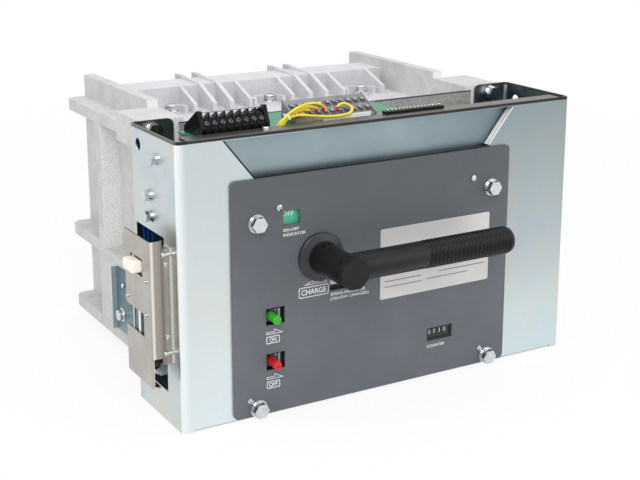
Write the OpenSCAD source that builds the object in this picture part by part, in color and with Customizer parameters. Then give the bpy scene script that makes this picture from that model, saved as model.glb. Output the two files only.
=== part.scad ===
// Fixed-type medium-voltage vacuum circuit breaker: a moulded insulating frame with three pole bays,
// and in front of it a folded, zinc-plated mechanism housing with a dark fascia and a charging handle.
// Millimetres. +Z is up, the fascia faces -Y, and the origin is the middle of the base bolt holes.

/* [Housing] */
// Width of the folded housing
housing_w = 534; // [520:1:560]
// Depth from the front face to the joint with the moulded frame
housing_d = 126; // [120:1:140]
// Height of the housing
housing_h = 330; // [326:1:345]
// Thickness of the zinc-plated sheet
sheet_t = 2; // [1.5:0.1:2.5]
// Outer radius of the upright bends
bend_r = 6; // [4:0.5:8]
// Width of the rear flanges that bolt to the frame
flange_w = 53; // [46:1:53]
// Depth of the lips folded along the top and bottom edges
lip_d = 22; // [18:1:24]
// Outer radius of the lip bend
lip_r = 4; // [3:0.5:5]
// Length left open at each end of a lip
lip_relief = 14; // [10:1:20]
// Depth of the recess above the fascia
recess_d = 12; // [8:1:14]
// Height of the recess
recess_h = 45; // [42:1:50]
// Width of the recess at its top
recess_top_w = 393; // [370:1:400]
// Width of the recess at its foot
recess_foot_w = 321; // [300:1:340]
// Diameter of the lifting holes in both wings
lifting_d = 14; // [10:0.5:18]

/* [Side window] */
// Distance of the window in the left wing from the front face
window_y = 38; // [37:1:42]
// Depth of the window
window_d = 77; // [60:1:80]
// Height of the window's sill above the base
window_z = 37; // [30:1:50]
// Height of the window
window_h = 180; // [150:1:190]

/* [Fascia] */
// Width of the fascia
fascia_w = 378; // [370:1:400]
// Thickness of the fascia
fascia_t = 3; // [2:0.5:4]
// Corner radius of the fascia
fascia_r = 6; // [3:0.5:10]
// Offset of the fascia from the centre line
fascia_x = -16; // [-24:1:0]
// Gap under the fascia
fascia_z = 3; // [0:1:6]
// Thread diameter of the fascia bolts
bolt_d = 10; // [8:1:12]
// Width of the nameplate
nameplate_w = 158; // [120:1:165]
// Height of the nameplate
nameplate_h = 86; // [60:1:92]

/* [Handle] */
// Sideways place of the charging shaft
handle_x = -94; // [-100:1:-90]
// Height of the charging shaft
handle_z = 180; // [174:1:190]
// Diameter of the charging shaft
shaft_d = 20; // [16:1:22]
// Diameter of the bevelled bush on the fascia
bush_d = 57; // [48:1:60]
// Diameter of the hub
hub_d = 36; // [32:1:40]
// Distance of the hub's end from the front face
hub_reach = 80; // [76:1:90]
// Distance of the arm's axis from the front face
arm_y = 57; // [52:1:60]
// Diameter of the arm
arm_d = 29; // [24:1:30]
// Length of the plain arm from the shaft's axis
arm_l = 104; // [90:1:110]
// Diameter of the grip over its ribs
grip_d = 33; // [31:0.5:36]
// Length of the grip
grip_l = 122; // [100:1:130]
// Number of ribs on the grip
rib_count = 18; // [12:1:22]

/* [Levers] */
// Diameter of the ON and OFF pegs
peg_d = 10; // [8:0.5:11]
// Reach of the pegs in front of the fascia
peg_reach = 14; // [10:1:18]
// Width of the lever windows
slot_w = 24; // [22:1:26]
// Height of the lever windows
slot_h = 20; // [16:1:22]
// Sideways place of the lever windows
slot_x = -152; // [-156:1:-148]
// Height of the ON window's middle
on_z = 119; // [112:1:124]
// Height of the OFF window's middle
off_z = 65; // [56:1:70]

/* [Moulded frame] */
// Width over the side walls
frame_w = 429; // [420:1:429]
// Depth of the side walls and phase barriers
frame_d = 291; // [280:1:310]
// Rise of the side walls above the housing
fin_rise = 8; // [6:1:14]
// Thickness of the side walls
wall_t = 14; // [10:1:16]
// Depth of the decks
deck_d = 260; // [250:1:270]
// Thickness of the bottom deck
deck_t = 14; // [10:1:16]
// Drop of the top deck below the wall tops
deck_drop = 12; // [8:1:14]
// Height of the top deck over its step
deck_h = 40; // [34:1:44]
// Thickness of the front wall
front_t = 12; // [10:1:16]
// Distance between neighbouring poles
pole_pitch = 144; // [140:1:146]
// Width over a double phase barrier
barrier_w = 31; // [26:1:34]
// Thickness of one leaf of a barrier
leaf_t = 6; // [5:0.5:8]
// Reach of the side ledges from the wall
ledge_reach = 25; // [18:1:28]
// Thickness of the side ledges
ledge_t = 15; // [12:1:18]

/* [Poles] */
// Diameter of the ceramic of a vacuum interrupter
bottle_d = 84; // [70:1:90]
// Height of the ceramic
bottle_h = 110; // [100:1:120]
// Diameter of the stems
stem_d = 24; // [18:1:28]
// Width of the terminal bars
bar_w = 50; // [40:1:60]
// Thickness of the terminal bars
bar_t = 10; // [8:1:12]
// Diameter of the terminal bolt holes
terminal_hole_d = 13; // [11:0.5:15]

/* [Base] */
// Diameter of the base bolt holes
base_hole_d = 11; // [9:0.5:13]
// Spacing of the base bolt holes across the width
base_pitch_x = 340; // [330:1:350]
// Spacing of the base bolt holes along the depth
base_pitch_y = 200; // [190:1:205]

/* [Control gear] */
// Length of the barrier terminal block
strip_l = 89; // [80:1:95]
// Height of the barrier terminal block
strip_h = 28; // [24:1:32]
// Number of ways in the barrier terminal block
strip_ways = 8; // [6:1:10]
// Length of the sloped terminal carrier
rack_l = 104; // [96:1:110]
// Length of the interlock plate
interlock_h = 167; // [160:1:175]
// Depth of the interlock plate
interlock_d = 71; // [66:1:74]
// Distance of the interlock plate from the wing
interlock_gap = 25; // [22:1:28]

/* [Hidden] */
$fn = 48;
// Extra length of a cutting shape past the face it cuts
over = 1;
// Clearance between pieces that slide on each other
slide_gap = 0.3;
// Radial clearance of the charging shaft
run_gap = 0.05;
// Radial clearance of bolts and sleeves in their holes
hole_gap = 0.3;

// Base: distance of the first holes from the joint between housing and frame
base_inset = 30;
joint_y = housing_d;
front_y = -(joint_y + base_inset + base_pitch_y / 2);
wing_x = housing_w / 2;

// Recess above the fascia and the panel behind it
recess_gap = 1;
fascia_h = housing_h - lip_r - recess_h - recess_gap - fascia_z;
recess_z = fascia_z + fascia_h + recess_gap;
recess_top_z = housing_h - lip_r;
recess_margin = 12;
recess_panel_drop = 40;

// Flange corner and lifting hole
flange_corner_r = 8;
lifting_y = 103;
lifting_drop = 21;

// Hexagon bolts: sizes as shares of the thread diameter
head_af_share = 1.6;
head_h_share = 0.64;
washer_d_share = 2.1;
washer_t_share = 0.2;
lock_d_share = 1.75;
lock_t_share = 0.22;
nut_room = 6;
side_bolt_d = 7;
side_bolt_high_y = 53;
side_bolt_mid_y = 74;
side_bolt_low_y = 72;
side_bolt_ys = [side_bolt_high_y, side_bolt_mid_y, side_bolt_low_y];
// Heights as shares of the sheet left above the side window
side_bolt_shares = [0.752, 0.354, 0.146];
window_top = window_z + window_h;

// Fascia bolts and windows
fascia_bolt_x = -14.5;
fascia_bolt_pitch_x = 321;
fascia_bolt_z = 12;
fascia_bolt_share = 0.82;
fascia_bolt_zs = [fascia_bolt_z, fascia_z + fascia_bolt_share * fascia_h];
sheet_window_margin = 2;
flag_x = -130.5;
flag_share = 0.823;
flag_z = fascia_z + flag_share * fascia_h;
flag_w = 21;
flag_h = 16;
flag_t = 1;
flag_margin = 4;
spring_x = -70.5;
spring_z = 144;
counter_x = 74.5;
counter_z = 55.5;
counter_w = 37;
counter_h = 17;
counter_d = 22;
counter_rim = 2;
counter_face_inset = 1.2;
counter_face_share = 0.5;
counter_face_y = -fascia_t * counter_face_share;
nameplate_x = 66;
nameplate_share = 0.5523;
nameplate_z = fascia_z + nameplate_share * fascia_h;
nameplate_t = 0.8;
nameplate_r = 2;

// Charging handle
bush_t = 8;
bush_rim = 3.5;
bush_bevel = 1.5;
bush_seat = 2;
sleeve_wall = 5;
sleeve_d = shaft_d + 2 * sleeve_wall;
sleeve_l = 14;
shaft_tail = 30;
hub_gap = 1;
hub_bore_l = 50;
octagon_l = 12;
hub_flat = 0.8;
set_d = 13;
set_inset = 9;
set_depth = 3.5;
spigot_d = 20;
grip_end_t = 8;
spigot_l = grip_l - grip_end_t;
grip_valley = 1.4;
grip_end_r = 4;
rib_shares = [0.12, 0.30, 0.70, 0.88];

// Levers and their guide
peg_offset = -5;
peg_ring_d = 6;
peg_ring_depth = 1;
slider_w = 34;
slider_h = 14;
slider_t = 4;
slider_y = sheet_t + slide_gap;
guide_w = 70;
guide_t = 2;
guide_margin = 20;
guide_y = slider_y + slider_t + slide_gap;
guide_z0 = off_z - guide_margin;
guide_z1 = on_z + guide_margin;

// Mechanism plates
back_t = 3;
back_gap = 1;
back_side_gap = 7;
back_drop = 6;
cheek_t = 3;
cheek_inset = 42;
cheek_y = 30;
cheek_z = 4;
cheek_drop = 40;
cheek_h = housing_h - cheek_drop - cheek_z;
tray_drop = 30;
tray_t = 2;
tray_w = recess_top_w + 2 * recess_margin;

// Control board, terminal block, terminal rack and edge strip
board_drop = 5;
board_top = housing_h - board_drop;
board_t = 1.6;
board_x0 = -232;
board_w = 284;
board_notch_w = 34;
board_gap = 2;
board_y0 = lip_d + board_gap;
board_back_gap = 10;
board_y1 = housing_d - board_back_gap;
post_d = 8;
post_inset = 12;
post_inset_left = 24;
strip_x0 = -230;
strip_d = 45;
strip_y0 = board_y0 + board_gap;
board_notch_y = strip_y0 + strip_d + board_gap;
strip_ridge_share = 0.5;
strip_base_h = 9;
fin_t = 2.4;
fin_top_share = 0.08;
rack_x0 = -100;
rack_offset = 14;
rack_y0 = board_y0 + rack_offset;
rack_d = 34;
rack_h = 22;
rack_plate_t = 3;
edge_lap = 46;
edge_x0 = board_x0 + board_w - edge_lap;
edge_l = 82;
edge_w = 9;
edge_h = 8;
edge_bite = 5;

// Interlock on the left wing
interlock_y = 15;
interlock_z = 54;
corner_z = 78;
corner_h = 132;
interlock_t = 2;
notch_y = 36;
notch_z = 108.5;
notch_h = 26.5;
strip_front_w = 16;
strip_front_z = 88;
fold_r = 4;
foot_w = 9;
foot_d = 24;
corner_y = 20;
corner_leg = 16;
corner_reach = 13;
knob_hole_y = 36;
knob_hole_w = 33;
knob_hole_z = 177;
knob_hole_h = 20;
knob_side_gap = 1;
knob_z = 182;
knob_w = 28;
knob_h = 13;
knob_reach = 12;
slide_bar_t = 5;
slide_bar_w = 24;
slide_bar_z = 62;
slide_bar_h = 140;

// Side channels on the frame
bracket_y = 54;
bracket_l = 77;
bracket_z = 38;
bracket_h = 82;
bracket_reach = 9;
bracket_t = 3;

// Frame: side walls
frame_h = housing_h + fin_rise;
wall_x = frame_w / 2;
ledge_x = wall_x + ledge_reach;
inner_w = frame_w - 2 * wall_t;
deck_top = frame_h - deck_drop;
deck_bottom = deck_top - deck_h;
ledge_drop = 36;
ledge_z = housing_h - ledge_drop;
ledge_bevel = 7;
block_l = 74;
block_foot_l = 48;
block_h = 24;
block_inset = 12;
foot_z = 20;
shoulder_drop = 1;
shoulder_z = housing_h - shoulder_drop;
block_zs = [foot_z, ledge_z];
block_ls = [block_foot_l, block_l];
block_hs = [block_h, shoulder_z - ledge_z];
flange_bolt_inset = 27;
flange_bolt_x = wing_x - flange_bolt_inset;
flange_bolt_l = 20;
flange_bolt_drop = 12;
flange_bolt_zs = [foot_z + block_h / 2, housing_h - flange_bolt_drop];
buttress_y = 173;
buttress_w = 17;
mid_z = 123;
pad_top_z = 131;
pad_front_y = 6;

// Frame: decks and barriers
deck_floor_t = 11;
deck_floor_z = deck_bottom + deck_floor_t;
plateau_y = 205;
rib_front_y = 159;
rib_front_h = 12;
web_t = 5;
bay_web_w = 64;
boss_d = 24;
boss_h = 5;
collar_d = 48;
collar_t = 5;
collar_h = 10;
rib_rise = 4;
leaf_inset = 10;
pole_xs = [-pole_pitch, 0, pole_pitch];
barrier_xs = [-pole_pitch / 2, pole_pitch / 2];
leaf_pitch = barrier_w - leaf_t;

// Poles, from the lower terminal upwards
bottle_y = 166;
cap_step = 4;
cap_d = bottle_d - 2 * cap_step;
cap_h = 10;
stem_l = 21;
bar_front = 30;
pad_y = 272;
pad_h = 50;
pole_h = 2 * (bar_t + stem_l + cap_h) + bottle_h;
post_l = (deck_bottom - deck_t - pole_h) / 2;
shed_d = 40;
post_core_d = 26;
shed_t = 6;
lower_z = deck_t + post_l;
bottle_z = lower_z + bar_t + stem_l + cap_h;
upper_z = bottle_z + bottle_h + cap_h + stem_l;

// Leads: yellow ones arch over the board's front edge, blue ones hang behind the side window
lead_d = 3;
lead_gap = 0.5;
lead_seat = 0.5;
lead_sides = 8;
lead_steps = 14;
lead_x = -128;
lead_span = 70;
lead_span_step = 9;
lead_rise = 17;
lead_rise_step = 4;
lead_y = board_y0 + lead_d;
lead_count = 3;
lead_reach = 9;
lead_lift = 0.6;
lead_end_y = rack_y0 + lead_reach;
rack_fall = (rack_h - rack_plate_t) / (rack_d - rack_plate_t);
lead_end_z = board_top + rack_plate_t + lead_reach * rack_fall + lead_lift;
hang_x = -258;
hang_pitch = 5;
hang_z = 60;
hang_l = 190;
hang_bow = 3;
hang_y = housing_d - sheet_t - lead_d / 2 - run_gap;

// Shifts a piece drawn from the housing's front face into the part's frame
module from_front() { translate([0, front_y, 0]) children(); }

// Draws a flat outline given in X and Z as a plate whose front lies at y
module upright(y, t) { translate([0, y + t, 0]) rotate([90, 0, 0]) linear_extrude(t) children(); }

// Rectangle with round corners, centred on x, standing on z
module round_rect(x, z, w, h, r) {
    translate([x - w / 2, z]) {
        translate([r, 0]) square([w - 2 * r, h]);
        translate([0, r]) square([w, h - 2 * r]);
        for (i = [r, w - r], j = [r, h - r]) translate([i, j]) circle(r);
    }
}

// Rectangle centred on a point
module window(x, z, w, h, margin) {
    translate([x - w / 2 - margin, z - h / 2 - margin]) square([w + 2 * margin, h + 2 * margin]);
}

// Four fascia bolt places
module fascia_bolt_places() {
    for (i = [-1, 1], z = fascia_bolt_zs)
        translate([fascia_bolt_x + i * fascia_bolt_pitch_x / 2, z]) children();
}

// Every window that opens through the fascia
module fascia_windows(margin) {
    window(slot_x, on_z, slot_w, slot_h, margin);
    window(slot_x, off_z, slot_w, slot_h, margin);
    window(flag_x, flag_z, flag_w, flag_h, margin);
    window(spring_x, spring_z, flag_w, flag_h, margin);
    window(counter_x, counter_z, counter_w, counter_h, margin);
}

// Quarter of a tube: a sheet bend of length l along Z
module bend(l, r, t) {
    rotate_extrude(angle = 90) translate([r - t, 0]) square([t, l]);
}

// Hexagon bolt with its head towards +Z over a lock washer and a flat washer seated on z = 0
module hex_bolt(d, grip) {
    seat = (washer_t_share + lock_t_share) * d;
    cylinder(h = washer_t_share * d, d = washer_d_share * d);
    cylinder(h = seat, d = lock_d_share * d);
    translate([0, 0, seat]) cylinder(h = head_h_share * d, d = head_af_share * d / cos(30), $fn = 6);
    translate([0, 0, -grip]) cylinder(h = grip + washer_t_share * d, d = d);
}

// Outline of the recess above the fascia
function recess_outline() = let (c = fascia_x) [
    [c - recess_foot_w / 2, recess_z], [c + recess_foot_w / 2, recess_z],
    [c + recess_top_w / 2, recess_top_z], [c - recess_top_w / 2, recess_top_z]];

// One slanted return of the recess
module recess_return(side) {
    foot = fascia_x + side * recess_foot_w / 2;
    top = fascia_x + side * recess_top_w / 2;
    upright(0, recess_d)
        polygon([[foot, recess_z], [top, recess_top_z], [top + side * sheet_t, recess_top_z],
            [foot + side * sheet_t, recess_z]]);
}

module housing_lip() {
    l = housing_w - 2 * lip_relief;
    translate([-l / 2, lip_r, housing_h - sheet_t]) cube([l, lip_d - lip_r, sheet_t]);
    translate([-l / 2, lip_r, housing_h - lip_r]) rotate([0, 90, 0]) rotate([0, 0, 180])
        bend(l, lip_r, sheet_t);
}

// Bends, wing and rear flange of the right side
module wing_sheet() {
    translate([wing_x - bend_r, bend_r, 0]) rotate([0, 0, -90]) bend(housing_h, bend_r, sheet_t);
    translate([wing_x - sheet_t, bend_r, 0]) cube([sheet_t, housing_d - 2 * bend_r, housing_h]);
    translate([wing_x - bend_r, housing_d - bend_r, 0]) bend(housing_h, bend_r, sheet_t);
    upright(housing_d - sheet_t, sheet_t) {
        translate([wing_x - flange_w, 0]) square([flange_w - bend_r, housing_h - flange_corner_r]);
        translate([wing_x - flange_w + flange_corner_r, 0])
            square([flange_w - bend_r - flange_corner_r, housing_h]);
        translate([wing_x - flange_w + flange_corner_r, housing_h - flange_corner_r])
            circle(flange_corner_r);
    }
}

// Lifting hole and bolt holes of the right side
module wing_holes() {
    translate([wing_x, lifting_y, housing_h - lifting_drop]) rotate([0, 90, 0])
        cylinder(h = 2 * (sheet_t + over), d = lifting_d, center = true);
    side_bolt_places() cylinder(h = 2 * (sheet_t + over), d = side_bolt_d + 2 * hole_gap, center = true);
    flange_bolt_places() rotate([90, 0, 0])
        cylinder(h = 2 * (sheet_t + over), d = bolt_d + 2 * hole_gap, center = true);
}

module housing() color("#c3cccf") from_front() {
    difference() {
        union() {
            translate([-(wing_x - bend_r), 0, lip_r])
                cube([2 * (wing_x - bend_r), sheet_t, housing_h - 2 * lip_r]);
            for (i = [-1, 1], z = [0, housing_h - lip_r])
                translate([i * (wing_x - (lip_relief + bend_r) / 2) - (lip_relief - bend_r) / 2, 0, z])
                    cube([lip_relief - bend_r, sheet_t, lip_r]);
            housing_lip();
            translate([0, 0, housing_h]) mirror([0, 0, 1]) housing_lip();
        }
        upright(-over, sheet_t + 2 * over) {
            polygon(recess_outline());
            fascia_windows(sheet_window_margin);
            fascia_bolt_places() circle(d = bolt_d + 2 * hole_gap);
            translate([handle_x, handle_z]) circle(d = sleeve_d + 2 * hole_gap);
        }
    }
    for (side = [-1, 1]) recess_return(side);
}

module housing_wing_left() color("#c3cccf") from_front() mirror([1, 0, 0]) difference() {
    wing_sheet();
    wing_holes();
    translate([wing_x - sheet_t - over, window_y, window_z]) cube([sheet_t + 2 * over, window_d, window_h]);
}

module housing_wing_right() color("#c3cccf") from_front() difference() {
    wing_sheet();
    wing_holes();
}

// Bolt places on the right wing, with its outward normal along +Z
module side_bolt_places() {
    for (i = [0 : len(side_bolt_ys) - 1])
        translate([wing_x, side_bolt_ys[i], window_top + side_bolt_shares[i] * (housing_h - window_top)])
            rotate([0, 90, 0]) children();
}

// A piece of the right side and its mirror image on the left
module both_sides() { children(); mirror([1, 0, 0]) children(); }

// Bolt places on the right rear flange, on the joint with the frame
module flange_bolt_places() {
    for (z = flange_bolt_zs) translate([flange_bolt_x, housing_d - sheet_t, z]) children();
}

module recess_panel() color("#9fb0b6") from_front()
    upright(recess_d, sheet_t)
        translate([fascia_x - recess_top_w / 2 - recess_margin, recess_z - recess_panel_drop])
            square([recess_top_w + 2 * recess_margin, housing_h - sheet_t - recess_z + recess_panel_drop]);

module fascia() color("#66696e") from_front()
    upright(-fascia_t, fascia_t) difference() {
        round_rect(fascia_x, fascia_z, fascia_w, fascia_h, fascia_r);
        fascia_windows(0);
        fascia_bolt_places() circle(d = bolt_d + 2 * hole_gap);
        translate([handle_x, handle_z]) circle(d = sleeve_d + 2 * hole_gap);
    }

module nameplate() color("#c4c2bf") from_front()
    upright(-fascia_t - nameplate_t, nameplate_t)
        round_rect(nameplate_x, nameplate_z - nameplate_h / 2, nameplate_w, nameplate_h, nameplate_r);

module fascia_bolts() color("#b9bcbd") from_front()
    for (i = [-1, 1], z = fascia_bolt_zs)
        translate([fascia_bolt_x + i * fascia_bolt_pitch_x / 2, -fascia_t, z])
            rotate([90, 0, 0]) hex_bolt(bolt_d, fascia_t + sheet_t + nut_room);

module flange_bolts() color("#d5d9da") from_front()
    both_sides() flange_bolt_places() rotate([90, 0, 0]) hex_bolt(bolt_d, sheet_t + flange_bolt_l);

module side_bolts() color("#d5d9da") from_front()
    both_sides() side_bolt_places() hex_bolt(side_bolt_d, sheet_t + nut_room);

// Turns a profile drawn round Z so that it stands on the fascia with +Z towards the front
module on_shaft(y) { translate([handle_x, -y, handle_z]) rotate([90, 0, 0]) children(); }

module shaft_bush() color("#26282a") from_front() on_shaft(fascia_t)
    rotate_extrude() polygon([
        [shaft_d / 2 + run_gap, -sleeve_l], [sleeve_d / 2, -sleeve_l], [sleeve_d / 2, 0], [bush_d / 2, 0],
        [bush_d / 2, bush_rim], [bush_d / 2 - bush_bevel, bush_rim + bush_bevel],
        [hub_d / 2 + bush_seat, bush_t], [shaft_d / 2 + run_gap, bush_t]]);

module charging_shaft() color("#8d9194") from_front()
    on_shaft(fascia_t - sleeve_l - shaft_tail)
        cylinder(h = sleeve_l + shaft_tail + bush_t + hub_gap + hub_bore_l - run_gap, d = shaft_d);

module handle_hub() color("#1d1d1d") from_front() {
    hub_y = fascia_t + bush_t + hub_gap;
    difference() {
        union() {
            on_shaft(hub_y) cylinder(h = hub_reach - octagon_l - hub_y, d = hub_d);
            on_shaft(hub_reach - octagon_l) intersection() {
                cylinder(h = octagon_l, d = hub_d);
                rotate(180 / 8) cylinder(h = octagon_l, d = (hub_d - 2 * hub_flat) / cos(180 / 8), $fn = 8);
            }
            translate([handle_x, -arm_y, handle_z]) rotate([0, 90, 0]) {
                cylinder(h = arm_l, d = arm_d);
                cylinder(h = arm_l + spigot_l, d = spigot_d);
            }
        }
        on_shaft(hub_y - over) cylinder(h = hub_bore_l + over, d = shaft_d + 2 * run_gap);
        translate([handle_x, -hub_y - set_inset, handle_z + hub_d / 2 - set_depth])
            cylinder(h = set_depth + over, d = set_d);
    }
}

// Half-section of the ribbed grip: ribs along the outside, a blind bore inside
function grip_section() = let (p = (grip_l - grip_end_r) / rib_count, r = grip_d / 2, v = r - grip_valley)
    concat(
    [[spigot_d / 2 + run_gap, 0]],
    [for (i = [0 : rib_count - 1], k = [0 : 3])
        [k == 0 || k == 3 ? v : r, (i + rib_shares[k]) * p]],
    [[v, grip_l - grip_end_r], [v - grip_end_r, grip_l], [0, grip_l], [0, spigot_l + run_gap],
        [spigot_d / 2 + run_gap, spigot_l + run_gap]]);

module handle_grip() color("#1b1b1b") from_front()
    translate([handle_x + arm_l, -arm_y, handle_z]) rotate([0, 90, 0])
        rotate_extrude() polygon(grip_section());

// A peg on a flat slider that runs behind the front sheet
module lever(z) {
    translate([slot_x + peg_offset, slider_y + slider_t, z]) {
        rotate([90, 0, 0]) difference() {
            cylinder(h = slider_t + slider_y + fascia_t + peg_reach, d = peg_d);
            translate([0, 0, slider_t + slider_y + fascia_t + peg_reach - peg_ring_depth])
                cylinder(h = peg_ring_depth + over, d = peg_ring_d);
        }
        translate([-slider_w / 2, -slider_t, -slider_h / 2]) cube([slider_w, slider_t, slider_h]);
    }
}

module on_lever() color("#2fae27") from_front() lever(on_z);

module off_lever() color("#cc1a22") from_front() lever(off_z);

module lever_guide() color("#aab2b5") from_front() {
    translate([slot_x - guide_w / 2, guide_y, guide_z0]) cube([guide_w, guide_t, guide_z1 - guide_z0]);
    for (z = [guide_z0, (guide_z0 + guide_z1 - guide_t) / 2, guide_z1 - guide_t])
        translate([slot_x - guide_w / 2, sheet_t, z]) cube([guide_w, guide_y - sheet_t, guide_t]);
}

module flag(x, z) {
    upright(sheet_t, flag_t) window(x, z, flag_w, flag_h, flag_margin);
}

module indicator_flag() color("#4fb793") from_front() flag(flag_x, flag_z);

module spring_flag() color("#dededa") from_front() flag(spring_x, spring_z);

module counter() color("#202223") from_front() {
    difference() {
        union() {
            upright(sheet_t, counter_d) window(counter_x, counter_z, counter_w, counter_h, flag_margin);
            upright(counter_face_y, sheet_t - counter_face_y)
                window(counter_x, counter_z, counter_w, counter_h, -slide_gap);
        }
        upright(counter_face_y - over, counter_face_inset + over)
            window(counter_x, counter_z, counter_w, counter_h, -counter_rim);
    }
}

module mechanism_back_plate() color("#a6a4a3") from_front()
    upright(housing_d - back_t, back_t)
        translate([-(wing_x - flange_w - back_side_gap), back_gap])
            square([2 * (wing_x - flange_w - back_side_gap), housing_h - back_drop - back_gap]);

module mechanism_cheeks() color("#7d878b") from_front()
    for (side = [-1, 1])
        translate([side * (wing_x - cheek_inset) - cheek_t / 2, cheek_y, cheek_z])
            cube([cheek_t, housing_d - sheet_t - cheek_y, cheek_h]);

module control_tray() color("#98a4a9") from_front()
    translate([fascia_x - tray_w / 2, recess_d + sheet_t, housing_h - tray_drop - tray_t])
        cube([tray_w, housing_d - back_t - recess_d - sheet_t, tray_t]);

module control_board() color("#1f8f68") from_front()
    translate([board_x0, 0, board_top - board_t]) linear_extrude(board_t) polygon([[0, board_y0],
        [board_w, board_y0], [board_w, board_y1], [board_notch_w, board_y1],
        [board_notch_w, board_notch_y], [0, board_notch_y]]);

module board_posts() color("#c9b26a") from_front()
    for (p = [[post_inset_left, board_y0 + post_inset], [board_w - post_inset, board_y0 + post_inset],
            [board_notch_w + post_inset, board_y1 - post_inset],
            [board_w - post_inset, board_y1 - post_inset]])
        translate([board_x0 + p[0], p[1], housing_h - tray_drop])
            cylinder(h = board_top - board_t - housing_h + tray_drop, d = post_d);

// Outline of one barrier of the terminal block, in Y and Z
function fin_outline() = let (r = strip_d * strip_ridge_share, w = strip_d * fin_top_share) [
    [0, 0], [strip_d, 0], [strip_d, strip_base_h], [r + w, strip_h], [r - w, strip_h], [0, strip_base_h]];

module terminal_block() color("#1a1c1c") from_front() translate([strip_x0, strip_y0, board_top]) {
    pitch = (strip_l - fin_t) / strip_ways;
    cube([strip_l, strip_d, strip_base_h]);
    for (i = [0 : strip_ways]) translate([i * pitch, 0, 0])
        rotate([90, 0, 90]) linear_extrude(fin_t) polygon(fin_outline());
}

module terminal_rack() color("#8e8f90") from_front() translate([rack_x0, rack_y0, board_top])
    rotate([90, 0, 90]) linear_extrude(rack_l)
        polygon([[0, 0], [rack_d, 0], [rack_d, rack_h], [rack_d - rack_plate_t, rack_h],
            [0, rack_plate_t]]);

module edge_strip() color("#17191a") from_front()
    translate([edge_x0, lip_d - edge_bite, housing_h - sheet_t / 2 - edge_h / 2]) difference() {
        cube([edge_l, edge_w, edge_h]);
        translate([-over, -over, edge_h / 2 - sheet_t / 2 - slide_gap])
            cube([edge_l + 2 * over, edge_bite + slide_gap + over, sheet_t + 2 * slide_gap]);
    }

// Round lead of diameter d along a path; side is a direction that no stretch of the path runs along
function unit(v) = v / norm(v);
function course(path, i) = unit(path[min(i + 1, len(path) - 1)] - path[max(i - 1, 0)]);
module lead(path, d, side) {
    n = lead_sides;
    last = len(path) - 1;
    points = [for (i = [0 : last])
        let (u = unit(cross(course(path, i), side)), w = cross(course(path, i), u))
        for (k = [0 : n - 1]) path[i] + d / 2 * (cos(360 * k / n) * u + sin(360 * k / n) * w)];
    polyhedron(points, concat([[for (k = [0 : n - 1]) k]], [[for (k = [n - 1 : -1 : 0]) last * n + k]],
        [for (i = [0 : last - 1], k = [0 : n - 1])
            [i * n + k, (i + 1) * n + k, (i + 1) * n + (k + 1) % n]],
        [for (i = [0 : last - 1], k = [0 : n - 1])
            [i * n + k, (i + 1) * n + (k + 1) % n, i * n + (k + 1) % n]]));
}

module control_leads() color("#f0d51e") from_front()
    for (j = [0 : lead_count - 1]) {
        span = lead_span - j * lead_span_step;
        rise = lead_rise - j * lead_rise_step;
        y = lead_y + j * (lead_d + lead_gap);
        lead([for (i = [0 : lead_steps]) let (a = 180 * i / lead_steps, share = (1 - cos(a)) / 2)
            [lead_x + span * share, y + (lead_end_y - y) * share,
                board_top + lead_seat + (lead_end_z - board_top) * share + rise * sin(a)]],
            lead_d, [0, 1, 0]);
    }

module side_leads() color("#0f4f9a") from_front()
    for (j = [0 : lead_count - 1])
        lead([for (i = [0 : lead_steps]) let (share = i / lead_steps)
            [hang_x + j * hang_pitch + hang_bow * sin(180 * share), hang_y, hang_z + hang_l * share]],
            lead_d, [0, 1, 0]);

module interlock_angle() color("#a39e98") from_front() translate([-wing_x, corner_y, corner_z]) {
    translate([-interlock_t, 0, 0]) cube([interlock_t, corner_leg, corner_h]);
    translate([-corner_reach, 0, 0]) cube([corner_reach, interlock_t, corner_h]);
}

module interlock_plate() color("#b5b0aa") from_front() {
    x = -wing_x - interlock_gap - interlock_t;
    fold_h = interlock_z + interlock_h - strip_front_z;
    translate([x, interlock_y, 0]) difference() {
        union() {
            translate([0, 0, interlock_z]) cube([interlock_t, interlock_d, strip_front_z - interlock_z]);
            translate([0, fold_r, strip_front_z]) cube([interlock_t, interlock_d - fold_r, fold_h]);
        }
        translate([-over, notch_y - interlock_y, notch_z])
            cube([interlock_t + 2 * over, interlock_d, notch_h]);
        translate([-over, knob_hole_y - interlock_y, knob_hole_z])
            cube([interlock_t + 2 * over, knob_hole_w, knob_hole_h]);
    }
    translate([x, interlock_y, strip_front_z]) {
        translate([fold_r, 0, 0]) cube([strip_front_w - 2 * fold_r, interlock_t, fold_h]);
        translate([strip_front_w - interlock_t, fold_r, 0])
            cube([interlock_t, corner_y - interlock_y - fold_r, fold_h]);
        translate([fold_r, fold_r, 0]) rotate([0, 0, 180]) bend(fold_h, fold_r, interlock_t);
        translate([strip_front_w - fold_r, fold_r, 0]) rotate([0, 0, -90]) bend(fold_h, fold_r, interlock_t);
    }
    translate([x, interlock_y, interlock_z]) cube([foot_w, foot_d, interlock_t]);
}

module interlock_slide() color("#5b6064") from_front()
    translate([-wing_x - interlock_gap + slide_gap, knob_hole_y + (knob_hole_w - slide_bar_w) / 2,
        slide_bar_z])
        cube([slide_bar_t, slide_bar_w, slide_bar_h]);

module interlock_knob() color("#f1dfc8") from_front()
    translate([-wing_x - interlock_gap - interlock_t - knob_reach, knob_hole_y + knob_side_gap, knob_z])
        cube([knob_reach + interlock_t + slide_gap, knob_w, knob_h]);

module side_channel() {
    translate([ledge_x, joint_y + bracket_y, bracket_z]) {
        cube([bracket_t, bracket_l, bracket_h]);
        for (y = [0, bracket_l - bracket_t])
            translate([0, y, 0]) cube([bracket_reach, bracket_t, bracket_h]);
    }
}

module side_channel_left() color("#5a7078") from_front() mirror([1, 0, 0]) side_channel();

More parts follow.
